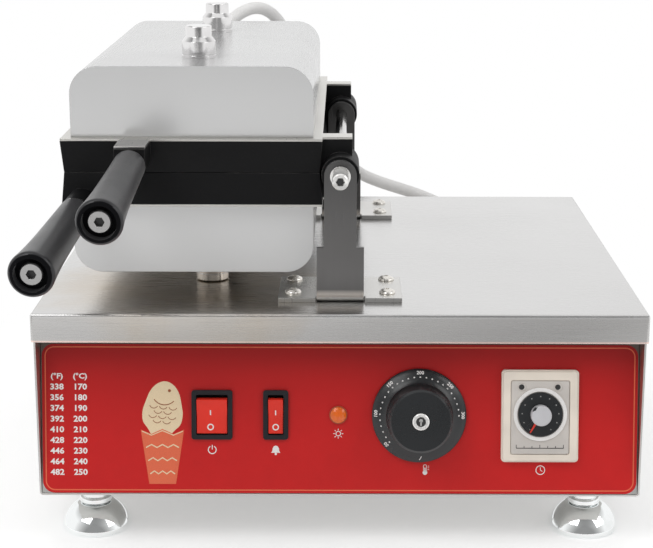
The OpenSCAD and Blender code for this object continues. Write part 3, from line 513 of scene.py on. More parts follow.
@dataclass(frozen=True)
class NonStickCasting:
    """Cast aluminium under a black non-stick coating that is rubbed thin on its edges."""

    name: str
    colour: Point = (0.0045, 0.0045, 0.005)
    metal: Point = (0.26, 0.25, 0.24)

    def material(self) -> bpy.types.Material:
        """Build the material.

        Returns:
            The finished material.
        """
        made = Shader(self.name)
        sand = made.noise(made.coords(), 900.0, 6.0, 0.65)
        cloud = made.noise(made.coords(), 35.0, 4.0, 0.6)
        normal, edges = made.round_edges(0.0008)
        scuff = made.maths("MULTIPLY", made.span(edges, 0.0, 1.0, 0.35, 1.0), made.span(cloud, 0.0, 0.5, 0.45, 0.62))
        speck = made.span(sand, 0.0, 1.0, 0.58, 0.72)
        coat = made.blend(speck, self.colour, scaled(self.colour, 2.1))
        made.put("Base Color", made.blend(scuff, coat, self.metal))
        made.put("Metallic", made.maths("MULTIPLY", scuff, 0.8))
        made.put("Roughness", made.span(cloud, 0.46, 0.58, 0.35, 0.65))
        made.put("Specular IOR Level", 0.2)
        made.put("Normal", made.bump(sand, 0.16, 0.0005, normal))
        return made.material


@dataclass(frozen=True)
class WovenSleeve:
    """Glass-fibre sleeve: two sets of crossing yarns that follow the hose's own UV map."""

    name: str
    colour: Point = (0.9, 0.89, 0.88)
    yarns: float = 18.0

    def material(self) -> bpy.types.Material:
        """Build the material.

        Returns:
            The finished material.
        """
        made = Shader(self.name)
        source = made.node("ShaderNodeTexCoord")
        split = made.node("ShaderNodeSeparateXYZ")
        made.link(source.outputs["UV"], split.inputs[0])
        waves = []
        for sign in (1.0, -1.0):
            lean = made.maths("ADD", made.maths("MULTIPLY", split.outputs["X"], self.yarns),
                              made.maths("MULTIPLY", split.outputs["Y"], sign * self.yarns))
            waves.append(made.maths("ABSOLUTE", made.maths("SINE", made.maths("MULTIPLY", lean, math.pi))))
        weave = made.maths("MAXIMUM", waves[0], waves[1])
        fuzz = made.noise(made.coords(), 320.0, 4.0, 0.6)
        soil = made.noise(made.coords(), 24.0, 3.0, 0.5)
        shade = made.maths("MULTIPLY", made.span(weave, 0.72, 1.0, 0.4, 1.0), made.span(fuzz, 0.9, 1.0, 0.3, 0.7))
        base = made.blend(made.span(soil, 0.0, 0.5, 0.45, 0.75), self.colour, scaled(self.colour, 0.8))
        made.put("Base Color", made.blend(shade, scaled(self.colour, 0.55), base))
        made.put("Roughness", made.span(fuzz, 0.62, 0.8, 0.3, 0.7))
        made.put("Sheen Weight", 0.15)
        made.put("Normal", made.bump(weave, 0.35, 0.0004))
        return made.material


@dataclass(frozen=True)
class AmberLens:
    """Clear amber plastic of the indicator lamp, moulded with fine prisms."""

    name: str
    colour: Point = (0.93, 0.17, 0.01)
    deep: Point = (0.55, 0.06, 0.01)

    def material(self) -> bpy.types.Material:
        """Build the material.

        Returns:
            The finished material.
        """
        made = Shader(self.name)
        prisms = made.node("ShaderNodeTexVoronoi")
        prisms.inputs["Scale"].default_value = 620.0
        made.link(made.coords(), prisms.inputs["Vector"])
        cloud = made.noise(made.coords(), 120.0, 3.0, 0.6)
        facing = made.node("ShaderNodeLayerWeight")
        facing.inputs["Blend"].default_value = 0.45
        body = made.blend(made.span(cloud, 0.0, 1.0, 0.3, 0.7), self.colour, scaled(self.colour, 0.82))
        made.put("Base Color", made.blend(made.span(facing.outputs["Facing"], 0.0, 0.8, 0.3, 0.9), body, self.deep))
        made.put("Roughness", made.span(cloud, 0.14, 0.24, 0.3, 0.7))
        made.put("Subsurface Weight", 0.25)
        made.put("Subsurface Scale", 0.002)
        made.put("Coat Weight", 0.2)
        made.put("Normal", made.bump(prisms.outputs[0], 0.3, 0.0004))
        return made.material


@dataclass(frozen=True)
class MineralBoard:
    """Pressed mineral fibre, matt and full of short fibres."""

    name: str
    colour: Point = (0.66, 0.61, 0.49)

    def material(self) -> bpy.types.Material:
        """Build the material.

        Returns:
            The finished material.
        """
        made = Shader(self.name)
        fibres = made.noise(made.coords((1.0, 0.15, 1.0), (0.0, 0.0, 0.7)), 700.0, 5.0, 0.7)
        clumps = made.noise(made.coords(), 80.0, 4.0, 0.6)
        dark = scaled(self.colour, 0.72)
        made.put("Base Color", made.blend(made.span(fibres, 0.0, 1.0, 0.35, 0.65), dark, self.colour))
        made.put("Roughness", made.span(clumps, 0.85, 0.97, 0.3, 0.7))
        made.put("Normal", made.bump(fibres, 0.4, 0.001))
        return made.material


@dataclass(frozen=True)
class PrintInk:
    """Screen-print ink, slightly uneven and a little proud of what it is printed on."""

    ink: Ink

    def material(self) -> bpy.types.Material:
        """Build the material.

        Returns:
            The finished material.
        """
        made = Shader(f"ink_{self.ink.name.lower()}")
        grain = made.noise(made.coords(), 1800.0, 3.0, 0.6)
        colour = self.ink.value
        made.put("Base Color", made.blend(made.span(grain, 0.0, 1.0, 0.3, 0.7), scaled(colour, 0.9), colour))
        made.put("Roughness", made.span(grain, 0.38, 0.5, 0.3, 0.7))
        made.put("Normal", made.bump(grain, 0.08, 0.0002))
        return made.material


@dataclass
class Paints:
    """The materials of the whole object, each built once."""

    made: dict[str, bpy.types.Material] = field(default_factory=dict)

    def get(self, finish: object) -> bpy.types.Material:
        """Material of a finish.

        Args:
            finish: One of the finish classes above.

        Returns:
            The material, built at its first use.
        """
        key = repr(finish)
        if key not in self.made:
            self.made[key] = finish.material()
        return self.made[key]


# Painted shade and reflection: a brownish patch on the lid under the heads.
LID_SHADE_PATCH = HeatTint((-0.095, (75 - ORIGIN_Y) * MM, LID_Z * MM), (0.095, 0.085, 1.0), (0.56, 0.48, 0.38))
# Painted shade darkens the lid's skirt below its top edge; a painted pink reflection of the red film runs along the
# skirt's lowest millimetre.
LID_STEEL = BrushedMetal("lid_steel", (0.69, 0.685, 0.68), 0.25, Axis.ALONG_X, 1500.0, 0.018, 0.03, heat=LID_SHADE_PATCH,
                         zones=(Zone("Z", (LID_Z - 1.5) * MM, (LID_Z - 3) * MM, (0.575, 0.565, 0.555)),
                                Zone("Z", LID_LOW + 0.0013, LID_LOW + 0.0009, (0.92, 0.72, 0.66))))
CASE_STEEL = BrushedMetal("case_steel", (0.6, 0.59, 0.57), 0.36, Axis.ALONG_X, 1200.0, 0.06)
# Painted shade: the front panel's steel is dark brown above its lowest 6 to 20 mm, for the shade under the lid's
# overhang.
PANEL_STEEL = BrushedMetal("panel_steel", (0.6, 0.59, 0.57), 0.36, Axis.ALONG_X, 1200.0, 0.06,
                           zones=(Zone("Z", (TRAY_Z + 6) * MM, (TRAY_Z + 20) * MM, (0.2, 0.165, 0.145)),))
# Painted light: the front end faces of the covers are a lighter grey than the rest.
COVER_STEEL = BrushedMetal("cover_steel", (0.575, 0.575, 0.575), 0.2, Axis.ALONG_Y, 1600.0, 0.012, 0.02,
                           tint=(0.555, 0.555, 0.553), metallic=0.38,
                           zones=(Zone("Y", COVER_FRONT + 0.0014, COVER_FRONT + 0.0006, (0.66, 0.66, 0.66)),))
# Painted shade: the plates are darker towards their front edge.
PLATE_STEEL = BrushedMetal("plate_steel", (0.7, 0.685, 0.65), 0.32, Axis.ALONG_Y, 1200.0, 0.04,
                           zones=(Zone("Y", (36 - ORIGIN_Y) * MM, (34 - ORIGIN_Y) * MM, (0.56, 0.55, 0.54)),))
# Painted light and shade on the brackets: dark uprights that lighten towards their foot, a warm painted highlight band
# at the bend, and light grey feet.
BRACKET_STEEL = BrushedMetal("bracket_steel", (0.135, 0.133, 0.132), 0.32, Axis.ALONG_Z, 1400.0, 0.04, edge=0.0007,
                             zones=(Zone("Z", PIVOT_Z * MM, (LID_Z + 20) * MM, (0.195, 0.19, 0.187)),
                                    Zone("Z", (LID_Z + 8.5) * MM, (LID_Z + 5) * MM, (0.85, 0.78, 0.72)),
                                    Zone("Z", (LID_Z + 3.6) * MM, (LID_Z + 3.2) * MM, (0.68, 0.67, 0.65))))
ZINC_STEEL = BrushedMetal("zinc_steel", (0.58, 0.58, 0.55), 0.4, Axis.NONE, 400.0, 0.1, 0.08,
                          tint=(0.6, 0.56, 0.42))
SHAFT_STEEL = BrushedMetal("shaft_steel", (0.5, 0.49, 0.48), 0.12, Axis.ALONG_X, 2400.0, 0.01)
POST_STEEL = Chrome("post_chrome", (0.8, 0.79, 0.79), 0.06)
HEATER_STEEL = BrushedMetal("heater_steel", (0.28, 0.25, 0.22), 0.5, Axis.NONE, 300.0, 0.12, 0.1,
                            tint=(0.24, 0.17, 0.2))
FOOT_CHROME = Chrome("foot_chrome", (0.91, 0.93, 0.93), 0.05)
BRIGHT_METAL = Chrome("bright_metal", (0.8, 0.79, 0.77), 0.1)
SCREW_METAL = BrushedMetal("screw_metal", (0.48, 0.475, 0.47), 0.34, Axis.NONE, 700.0, 0.25, 0.08, edge=0.0003)
NUT_METAL = BrushedMetal("nut_metal", (0.94, 0.93, 0.91), 0.16, Axis.NONE, 900.0, 0.06, 0.05, edge=0.0003, metallic=0.5)
DOME_METAL = BrushedMetal("dome_metal", (0.86, 0.83, 0.78), 0.28, Axis.NONE, 900.0, 0.02, 0.03, edge=0.0002,
                          metallic=0.85)
CASTING = NonStickCasting("mould_casting")
# Painted shadow: the film's deep red towards its top stands for the shade under the lid's overhang.
RED_FILM = PrintedFilm("red_film", (0.62, 0.012, 0.012), (0.44, 0.008, 0.008))
BLACK_PLASTIC = MouldedPlastic("black_plastic", (0.02, 0.02, 0.024), 0.42, specular=0.25)
DIAL_PLASTIC = MouldedPlastic("dial_plastic", (0.014, 0.016, 0.018), 0.3, 1200.0, 0.05, coat=0.1)
GRIP_PLASTIC = MouldedPlastic("grip_plastic", (0.01, 0.0095, 0.012), 0.34, 1400.0, 0.06, sheen=0.22)
# Painted shade: a darker, duller copy of the grip plastic for the grips' front-facing ends.
GRIP_END_SHADE_PLASTIC = MouldedPlastic("grip_end_shade_plastic", (0.004, 0.004, 0.005), 0.6, 1400.0, 0.06, specular=0.08)
RED_PLASTIC = MouldedPlastic("red_plastic", (0.86, 0.035, 0.018), 0.3, 1300.0, 0.04, rub=1.15, coat=0.05,
                             specular=0.3)
AMBER_PLASTIC = MouldedPlastic("amber_plastic", (0.4, 0.07, 0.02), 0.3, 1300.0, 0.04)
CREAM_PLASTIC = MouldedPlastic("cream_plastic", (0.93, 0.84, 0.73), 0.4, 1500.0, 0.06, rub=1.08)
GREY_PLASTIC = MouldedPlastic("grey_plastic", (0.3, 0.3, 0.32), 0.45)
FACE_PLASTIC = MouldedPlastic("face_plastic", (0.67, 0.63, 0.59), 0.45, 1500.0, 0.06, rub=1.1)
KNOB_PLASTIC = MouldedPlastic("knob_plastic", (0.6, 0.6, 0.62), 0.4, 1500.0, 0.06, rub=1.1)
AMBER_LENS = AmberLens("amber_lens")
BOARD = MineralBoard("insulation_board")
SLEEVE = WovenSleeve("hose_sleeve")

NODE_FINISHES: dict[str, object] = {
    "base_lid": LID_STEEL, "body_tray": CASE_STEEL, "back_panel": CASE_STEEL, "front_panel": PANEL_STEEL,
    "panel_overlay": RED_FILM, "foot_front_left": FOOT_CHROME, "foot_front_right": FOOT_CHROME,
    "foot_rear_left": FOOT_CHROME, "foot_rear_right": FOOT_CHROME, "foot_nuts": ZINC_STEEL,
    "power_switch_body": BLACK_PLASTIC, "power_rocker": RED_PLASTIC, "alarm_switch_body": BLACK_PLASTIC,
    "alarm_rocker": RED_PLASTIC, "lamp_body": AMBER_PLASTIC, "lamp_lens": AMBER_LENS, "thermostat": ZINC_STEEL,
    "temperature_dial": DIAL_PLASTIC, "dial_cap": NUT_METAL, "timer_case": CREAM_PLASTIC,
    "timer_face": FACE_PLASTIC, "timer_dial": DIAL_PLASTIC, "alarm_buzzer": BLACK_PLASTIC,
    "terminal_block": CREAM_PLASTIC, "base_hose_gland": GREY_PLASTIC, "cord_gland": GREY_PLASTIC,
    "front_bracket": BRACKET_STEEL, "rear_bracket": BRACKET_STEEL, "bracket_screws": BRIGHT_METAL,
    "hinge_shaft": SHAFT_STEEL, "shaft_end_nuts": NUT_METAL, "shaft_collars": BRIGHT_METAL,
    "lower_mould": CASTING, "lower_plate": PLATE_STEEL, "lower_heater": HEATER_STEEL, "lower_insulation": BOARD,
    "lower_cover": COVER_STEEL, "lower_posts": POST_STEEL, "lower_arm_washer": BRIGHT_METAL,
    "lower_grip": GRIP_PLASTIC, "lower_grip_bolt": SCREW_METAL, "lower_glands": GREY_PLASTIC,
    "upper_mould": CASTING, "upper_plate": PLATE_STEEL, "upper_heater": HEATER_STEEL, "upper_insulation": BOARD,
    "upper_cover": COVER_STEEL, "upper_posts": POST_STEEL, "upper_arm_washer": BRIGHT_METAL,
    "upper_grip": GRIP_PLASTIC, "upper_grip_bolt": SCREW_METAL, "upper_gland": GREY_PLASTIC,
    "jumper_hose": SLEEVE, "base_hose": SLEEVE,
}


NODE_BEVELS: dict[str, float] = {
    "front_bracket": 0.35, "rear_bracket": 0.35, "lower_plate": 0.2, "upper_plate": 0.2, "lower_cover": 0.3,
    "upper_cover": 0.3, "power_switch_body": 0.35, "alarm_switch_body": 0.35, "power_rocker": 0.4,
    "alarm_rocker": 0.4, "timer_case": 0.4, "timer_face": 0.2, "back_panel": 0.15, "terminal_block": 0.3,
}


def add_piece(name: str, mesh: bpy.types.Mesh, material: bpy.types.Material, body: str) -> bpy.types.Object:
    """Put a mesh into the scene as a piece that rides on a body.

    Args:
        name: Name of the piece.
        mesh: Its mesh, already in place.
        material: Its material.
        body: Body that it rides on.

    Returns:
        The new object.
    """
    mesh.name = name
    mesh.materials.clear()
    mesh.materials.append(material)
    piece = bpy.data.objects.new(name, mesh)
    bpy.context.scene.collection.objects.link(piece)
    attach(piece, body)
    LOG.info("%s rides on %s: %d faces", name, body, len(mesh.polygons))
    return piece


def ringed_solid(shape: bmesh.types.BMesh, rings: Sequence[Callable[[float], tuple[float, float]]], sides: int,
                 place: Matrix) -> None:
    """Add a closed solid of rings round the Z axis; a ring may be any shape.

    Args:
        shape: Mesh that the solid is added to.
        rings: For each ring a function from the angle to its radius and height, from one end to the other.
        sides: Points of each ring.
        place: Place of the solid.
    """
    loops = []
    for ring in rings:
        spots = [ring(math.tau * k / sides) for k in range(sides)]
        loops.append([shape.verts.new(place @ Vector((r * math.cos(math.tau * k / sides),
                                                      r * math.sin(math.tau * k / sides), z)))
                      for k, (r, z) in enumerate(spots)])
    for low, high in zip(loops, loops[1:]):
        for k in range(sides):
            shape.faces.new((low[k], low[(k + 1) % sides], high[(k + 1) % sides], high[k]))
    shape.faces.new(loops[0][::-1])
    shape.faces.new(loops[-1])


def circle_ring(radius: float, height: float) -> Callable[[float], tuple[float, float]]:
    """Ring of one radius at one height."""
    return lambda angle: (radius, height)


def hex_ring(across: float, height: float) -> Callable[[float], tuple[float, float]]:
    """Ring with the outline of a hexagon.

    Args:
        across: Distance across the flats.
        height: Height of the ring.

    Returns:
        Function from the angle to the radius and the height.
    """
    return lambda angle: (across / 2 / math.cos((angle + math.pi / 6) % (math.pi / 3) - math.pi / 6), height)


def finish_mesh(shape: bmesh.types.BMesh, name: str, smooth: float = 35.0) -> bpy.types.Mesh:
    """Turn a bmesh into a mesh with outward normals and smooth faces between sharp edges.

    Args:
        shape: The bmesh, freed afterwards.
        name: Name of the mesh.
        smooth: Angle in degrees up to which an edge is smooth.

    Returns:
        The mesh.
    """
    bmesh.ops.recalc_face_normals(shape, faces=shape.faces[:])
    for face in shape.faces:
        face.smooth = True
    for edge in shape.edges:
        edge.smooth = len(edge.link_faces) == 2 and edge.calc_face_angle(0.0) < math.radians(smooth)
    mesh = bpy.data.meshes.new(name)
    shape.to_mesh(mesh)
    shape.free()
    return mesh


def refined_mesh(source: bpy.types.Mesh, bevel: float, smooth: float = 32.0) -> bpy.types.Mesh:
    """Joined and smoothed copy of a CAD mesh, with small bevels where they pay.

    Args:
        source: The CAD mesh, left as it is.
        bevel: Width of the bevels in millimetres, or 0 for none.
        smooth: Angle in degrees up to which an edge is smooth.

    Returns:
        The copy.
    """
    shape = bmesh.new()
    shape.from_mesh(source)
    bmesh.ops.remove_doubles(shape, verts=shape.verts[:], dist=2e-6)
    bmesh.ops.dissolve_degenerate(shape, edges=shape.edges[:], dist=1e-6)
    if bevel:
        bmesh.ops.dissolve_limit(shape, verts=shape.verts[:], edges=shape.edges[:], angle_limit=math.radians(0.4))
    mesh = finish_mesh(shape, "refined", smooth)
    if not bevel:
        return mesh
    holder = bpy.data.objects.new("holder", mesh)
    bpy.context.scene.collection.objects.link(holder)
    edge = holder.modifiers.new("edge", "BEVEL")
    edge.width, edge.segments, edge.limit_method = bevel * MM, 2, "ANGLE"
    edge.angle_limit, edge.harden_normals, edge.miter_outer = math.radians(40), True, "MITER_ARC"
    holder.modifiers.new("normals", "WEIGHTED_NORMAL")
    evaluated = holder.evaluated_get(bpy.context.evaluated_depsgraph_get())
    made = bpy.data.meshes.new_from_object(evaluated)
    holder.modifiers.clear()
    bpy.data.objects.remove(holder)
    bpy.data.meshes.remove(mesh)
    return made


@dataclass(frozen=True)
class PanelFrame:
    """The leaning control panel: u runs right, v runs up it, w runs out of it, in millimetres."""

    foot_y: float = 1.8 - ORIGIN_Y
    foot_z: float = TRAY_Z + 1.4
    lean: float = 10.0
    film: float = 0.4

    def matrix(self, u: float = 0.0, v: float = 0.0, w: float = 0.0, spin: float = 0.0) -> Matrix:
        """Place of something drawn in the panel's plane, in millimetres.

        Args:
            u: Distance right of the middle.
            v: Distance up the panel.
            w: Distance out of the panel.
            spin: Turn in the panel's plane in degrees.

        Returns:
            Matrix from drawing millimetres to metres in the part's frame.
        """
        lean = math.radians(self.lean)
        axes = Matrix(((1, 0, 0), (0, math.sin(lean), -math.cos(lean)), (0, math.cos(lean), math.sin(lean)))).to_4x4()
        place = Matrix.Translation((0, self.foot_y, self.foot_z)) @ axes @ Matrix.Translation((u, v, w))
        return Matrix.Scale(MM, 4) @ place @ Matrix.Rotation(math.radians(spin), 4, "Z")


PANEL = PanelFrame()


class Print:
    """Flat print of one ink, collected as thin closed shapes and made into one piece."""

    def __init__(self, name: str, ink: Ink, body: str, slot: str = "red_film") -> None:
        """Start an empty print.

        Args:
            name: Name of the piece.
            ink: Its colour.
            body: Body that it rides on.
            slot: Material slot of what it is printed on; stored but not used.
        """
        self.name, self.ink, self.body, self.slot = name, ink, body, slot
        self.shape = bmesh.new()

    def words(self, text: str, size: float, place: Matrix) -> None:
        """Add a line of text.

        Args:
            text: The characters.
            size: Size of the type in millimetres.
            place: Place of the text's middle.
        """
        curve = bpy.data.curves.new("type", "FONT")
        curve.body, curve.size, curve.align_x, curve.align_y = text, size, "CENTER", "CENTER"
        curve.extrude, curve.resolution_u, curve.offset = 0.03, 2, 0.03 * size
        holder = bpy.data.objects.new("type", curve)
        bpy.context.scene.collection.objects.link(holder)
        evaluated = holder.evaluated_get(bpy.context.evaluated_depsgraph_get())
        mesh = bpy.data.meshes.new_from_object(evaluated)
        mesh.transform(place)
        self.shape.from_mesh(mesh)
        bpy.data.objects.remove(holder)
        bpy.data.curves.remove(curve)
        bpy.data.meshes.remove(mesh)

    def patch(self, outline: Sequence[Point], place: Matrix, thick: float = 0.06) -> None:
        """Add a filled outline.

        Args:
            outline: Points of the outline in millimetres, in order.
            place: Place of the drawing.
            thick: Thickness of the ink.
        """
        low = [self.shape.verts.new(place @ Vector((x, y, -thick / 2))) for x, y in outline]
        high = [self.shape.verts.new(place @ Vector((x, y, thick / 2))) for x, y in outline]
        count = len(outline)
        for k in range(count):
            self.shape.faces.new((low[k], low[(k + 1) % count], high[(k + 1) % count], high[k]))
        self.shape.faces.new(low[::-1])
        self.shape.faces.new(high)

    def stroke(self, path: Sequence[Point], width: float, place: Matrix, closed: bool = False) -> None:
        """Add a line of one width along a path.

        Args:
            path: Points of the path in millimetres.
            width: Width of the line.
            place: Place of the drawing.
            closed: Whether the last point joins the first.
        """
        count = len(path)
        sides = []
        for k, (x, y) in enumerate(path):
            before = path[k - 1] if k or closed else path[k]
            after = path[(k + 1) % count] if k < count - 1 or closed else path[k]
            along = Vector((after[0] - before[0], after[1] - before[1])).normalized()
            across = Vector((-along.y, along.x)) * width / 2
            sides.append(((x + across.x, y + across.y), (x - across.x, y - across.y)))
        corners = [[self.shape.verts.new(place @ Vector((*side, z))) for side in pair for z in (0.03, -0.03)]
                   for pair in sides]
        for k in range(count if closed else count - 1):
            a, b = corners[k], corners[(k + 1) % count]
            for i, j in ((0, 2), (2, 3), (3, 1), (1, 0)):
                self.shape.faces.new((a[i], a[j], b[j], b[i]))
        if not closed:
            for end in (corners[0], corners[-1]):
                self.shape.faces.new((end[0], end[2], end[3], end[1]))

    def disc(self, radius: float, place: Matrix, sides: int = 20) -> None:
        """Add a filled circle."""
        self.patch(arc((0, 0), radius, 0, 360 - 360 / sides, sides - 1), place)

    def piece(self, paints: Paints) -> bpy.types.Object:
        """Make the collected print a piece.

        Args:
            paints: The materials.

        Returns:
            The new object.
        """
        bmesh.ops.recalc_face_normals(self.shape, faces=self.shape.faces[:])
        mesh = bpy.data.meshes.new(self.name)
        self.shape.to_mesh(mesh)
        self.shape.free()
        return add_piece(self.name, mesh, paints.get(PrintInk(self.ink)), self.body)


def arc(centre: Point, radius: float, start: float, end: float, steps: int = 16) -> list[tuple[float, float]]:
    """Points of an arc.

    Args:
        centre: Middle of the arc.
        radius: Its radius.
        start: Start angle in degrees.
        end: End angle in degrees.
        steps: Number of pieces.

    Returns:
        The points, both ends among them.
    """
    angles = [math.radians(start + (end - start) * k / steps) for k in range(steps + 1)]
    return [(centre[0] + radius * math.cos(a), centre[1] + radius * math.sin(a)) for a in angles]


def rounded_outline(left: float, low: float, right: float, high: float, radius: float) -> list[tuple[float, float]]:
    """Outline of a rectangle with round corners.

    Args:
        left: Left side.
        low: Lower side.
        right: Right side.
        high: Upper side.
        radius: Radius of the corners.

    Returns:
        The points in order.
    """
    corners = (((right - radius, low + radius), -90), ((right - radius, high - radius), 0),
               ((left + radius, high - radius), 90), ((left + radius, low + radius), 180))
    return [p for centre, start in corners for p in arc(centre, radius, start, start + 90, 8)]


class NodeTree:
    """A Geometry Nodes tree with named inputs that ends in Realize Instances and Set Material."""

    def __init__(self, name: str) -> None:
        """Start an empty tree with a geometry input and output.

        Args:
            name: Name of the tree.
        """
        self.tree = bpy.data.node_groups.new(name, "GeometryNodeTree")
        self.tree.interface.new_socket("Geometry", in_out="INPUT", socket_type="NodeSocketGeometry")
        self.tree.interface.new_socket("Geometry", in_out="OUTPUT", socket_type="NodeSocketGeometry")
        self.source = self.tree.nodes.new("NodeGroupInput")
        self.values: dict[str, object] = {}

    def entry(self, name: str, kind: str, value: object) -> Socket:
        """Add a named input.

        Args:
            name: Name of the input.
            kind: Kind of socket, such as Float, Int, Object or Material.
            value: Value given to the modifier.

        Returns:
            The socket inside the tree.
        """
        item = self.tree.interface.new_socket(name, in_out="INPUT", socket_type=f"NodeSocket{kind}")
        self.values[item.identifier] = value
        return self.source.outputs[name]

    def node(self, kind: str, inputs: dict[str, object] | None = None, **settings: object) -> bpy.types.Node:
        """Add a node.

        Args:
            kind: Type name of the node.
            inputs: Values or sockets by input name.
            **settings: Properties of the node.

        Returns:
            The new node.
        """
        made = self.tree.nodes.new(kind)
        for key, value in settings.items():
            setattr(made, key, value)
        for key, value in (inputs or {}).items():
            target = next(s for s in made.inputs if s.name == key and s.enabled)
            if isinstance(value, bpy.types.NodeSocket):
                self.tree.links.new(value, target)
            else:
                target.default_value = value
        return made

    def bake(self, last: Socket, material: bpy.types.Material, place: Matrix) -> bpy.types.Mesh:
        """End the tree, run it on an empty mesh, and return the plain mesh that it makes.

        Args:
            last: Geometry to realize.
            material: Material of the result.
            place: Place of the result.

        Returns:
            The mesh, with its place applied.
        """
        paint = self.entry("Material", "Material", material)
        real = self.node("GeometryNodeRealizeInstances", {"Geometry": last})
        painted = self.node("GeometryNodeSetMaterial", {"Geometry": real.outputs[0], "Material": paint})
        output = self.tree.nodes.new("NodeGroupOutput")
        self.tree.links.new(painted.outputs[0], output.inputs[0])
        holder = bpy.data.objects.new("holder", bpy.data.meshes.new("holder"))
        bpy.context.scene.collection.objects.link(holder)
        modifier = holder.modifiers.new("nodes", "NODES")
        modifier.node_group = self.tree
        for identifier, value in self.values.items():
            modifier[identifier] = value
        evaluated = holder.evaluated_get(bpy.context.evaluated_depsgraph_get())
        mesh = bpy.data.meshes.new_from_object(evaluated)
        holder.modifiers.clear()
        bpy.data.objects.remove(holder)
        mesh.transform(place)
        return mesh


@dataclass(frozen=True)
class DotArc:
    """Round marks at even steps on an arc, made with Geometry Nodes. Lengths are millimetres."""

    name: str
    count: int
    radius: float
    start: float
    sweep: float
    dot: float
    thick: float = 0.12

    def mesh(self, material: bpy.types.Material, place: Matrix) -> bpy.types.Mesh:
        """Build the marks.

        Args:
            material: Their material.
            place: Place of the arc's middle.

        Returns:
            The mesh.
        """
        tree = NodeTree(self.name)
        count = tree.entry("Count", "Int", self.count)
        radius = tree.entry("Arc Radius", "Float", self.radius)
        start = tree.entry("Start Angle", "Float", math.radians(self.start))
        sweep = tree.entry("Sweep Angle", "Float", math.radians(self.sweep))
        dot = tree.entry("Dot Radius", "Float", self.dot)
        thick = tree.entry("Dot Height", "Float", self.thick)
        line = tree.node("GeometryNodeCurveArc", {"Resolution": 64, "Radius": radius, "Start Angle": start,
                                                  "Sweep Angle": sweep}, mode="RADIUS")
        points = tree.node("GeometryNodeCurveToPoints", {"Curve": line.outputs[0], "Count": count}, mode="COUNT")
        mark = tree.node("GeometryNodeMeshCylinder", {"Vertices": 10, "Radius": dot, "Depth": thick})
        placed = tree.node("GeometryNodeInstanceOnPoints", {"Points": points.outputs[0], "Instance": mark.outputs[0]})
        return tree.bake(placed.outputs[0], material, place)


@dataclass(frozen=True)
class ScrewGrid:
    """Button-head socket screws on the feet of both brackets, spread with Geometry Nodes."""

    spread_x: float = 60.6
    spread_y: float = 34.0
    pitch: float = 249.0
    first_y: float = 59.0 - ORIGIN_Y
    seat_z: float = LID_Z + 3.0
    head_d: float = 10.5
    seed: int = 7

    def head(self, material: bpy.types.Material) -> bpy.types.Object:
        """One screw head with its socket and the shank under it.

        Args:
            material: Its material.

        Returns:
            A holder object with the screw's mesh, in metres.
        """
        r = self.head_d / 2
        dome = [(r * math.cos(a), 0.35 + 2.6 * math.sin(a)) for a in (math.radians(5 + 70 * k / 8) for k in range(9))]
        rings = [circle_ring(2.4, -9.0), circle_ring(2.4, 0.0), circle_ring(r - 0.2, 0.0), circle_ring(r, 0.3)]
        rings += [circle_ring(x, z) for x, z in dome]
        rings += [hex_ring(2.4, 2.78), hex_ring(2.3, 2.6), hex_ring(2.3, 1.1), circle_ring(0.3, 0.9)]
        shape = bmesh.new()
        ringed_solid(shape, rings, 36, Matrix.Scale(MM, 4))
        mesh = finish_mesh(shape, "screw", 32.0)
        mesh.materials.append(material)
        return bpy.data.objects.new("screw", mesh)

    def mesh(self, material: bpy.types.Material) -> bpy.types.Mesh:
        """Build all eight screws.

        Args:
            material: Their material.

        Returns:
            The mesh, in place.
        """
        tree = NodeTree("bracket_screws")
        screw = tree.entry("Screw", "Object", self.head(material))
        width = tree.entry("Spread X", "Float", self.spread_x * MM)
        depth = tree.entry("Spread Y", "Float", self.spread_y * MM)
        pitch = tree.entry("Bracket Pitch", "Float", self.pitch * MM)
        turn = tree.entry("Most Turn", "Float", math.tau)
        grid = tree.node("GeometryNodeMeshGrid", {"Size X": width, "Size Y": depth, "Vertices X": 2, "Vertices Y": 2})
        step = tree.node("ShaderNodeCombineXYZ", {"Y": pitch})
        line = tree.node("GeometryNodeMeshLine", {"Count": 2, "Offset": step.outputs[0]})
        both = tree.node("GeometryNodeInstanceOnPoints", {"Points": line.outputs[0], "Instance": grid.outputs[0]})
        spots = tree.node("GeometryNodeRealizeInstances", {"Geometry": both.outputs[0]})
        chance = tree.node("FunctionNodeRandomValue", {"Max": turn, "Seed": self.seed}, data_type="FLOAT")
        angle = tree.node("ShaderNodeCombineXYZ", {"Z": next(s for s in chance.outputs if s.enabled)})
        shape = tree.node("GeometryNodeObjectInfo", {"Object": screw})
        placed = tree.node("GeometryNodeInstanceOnPoints", {
            "Points": spots.outputs[0], "Instance": shape.outputs["Geometry"], "Rotation": angle.outputs[0]})
        place = Matrix.Translation((0.0, self.first_y * MM, self.seat_z * MM))
        return tree.bake(placed.outputs[0], material, place)


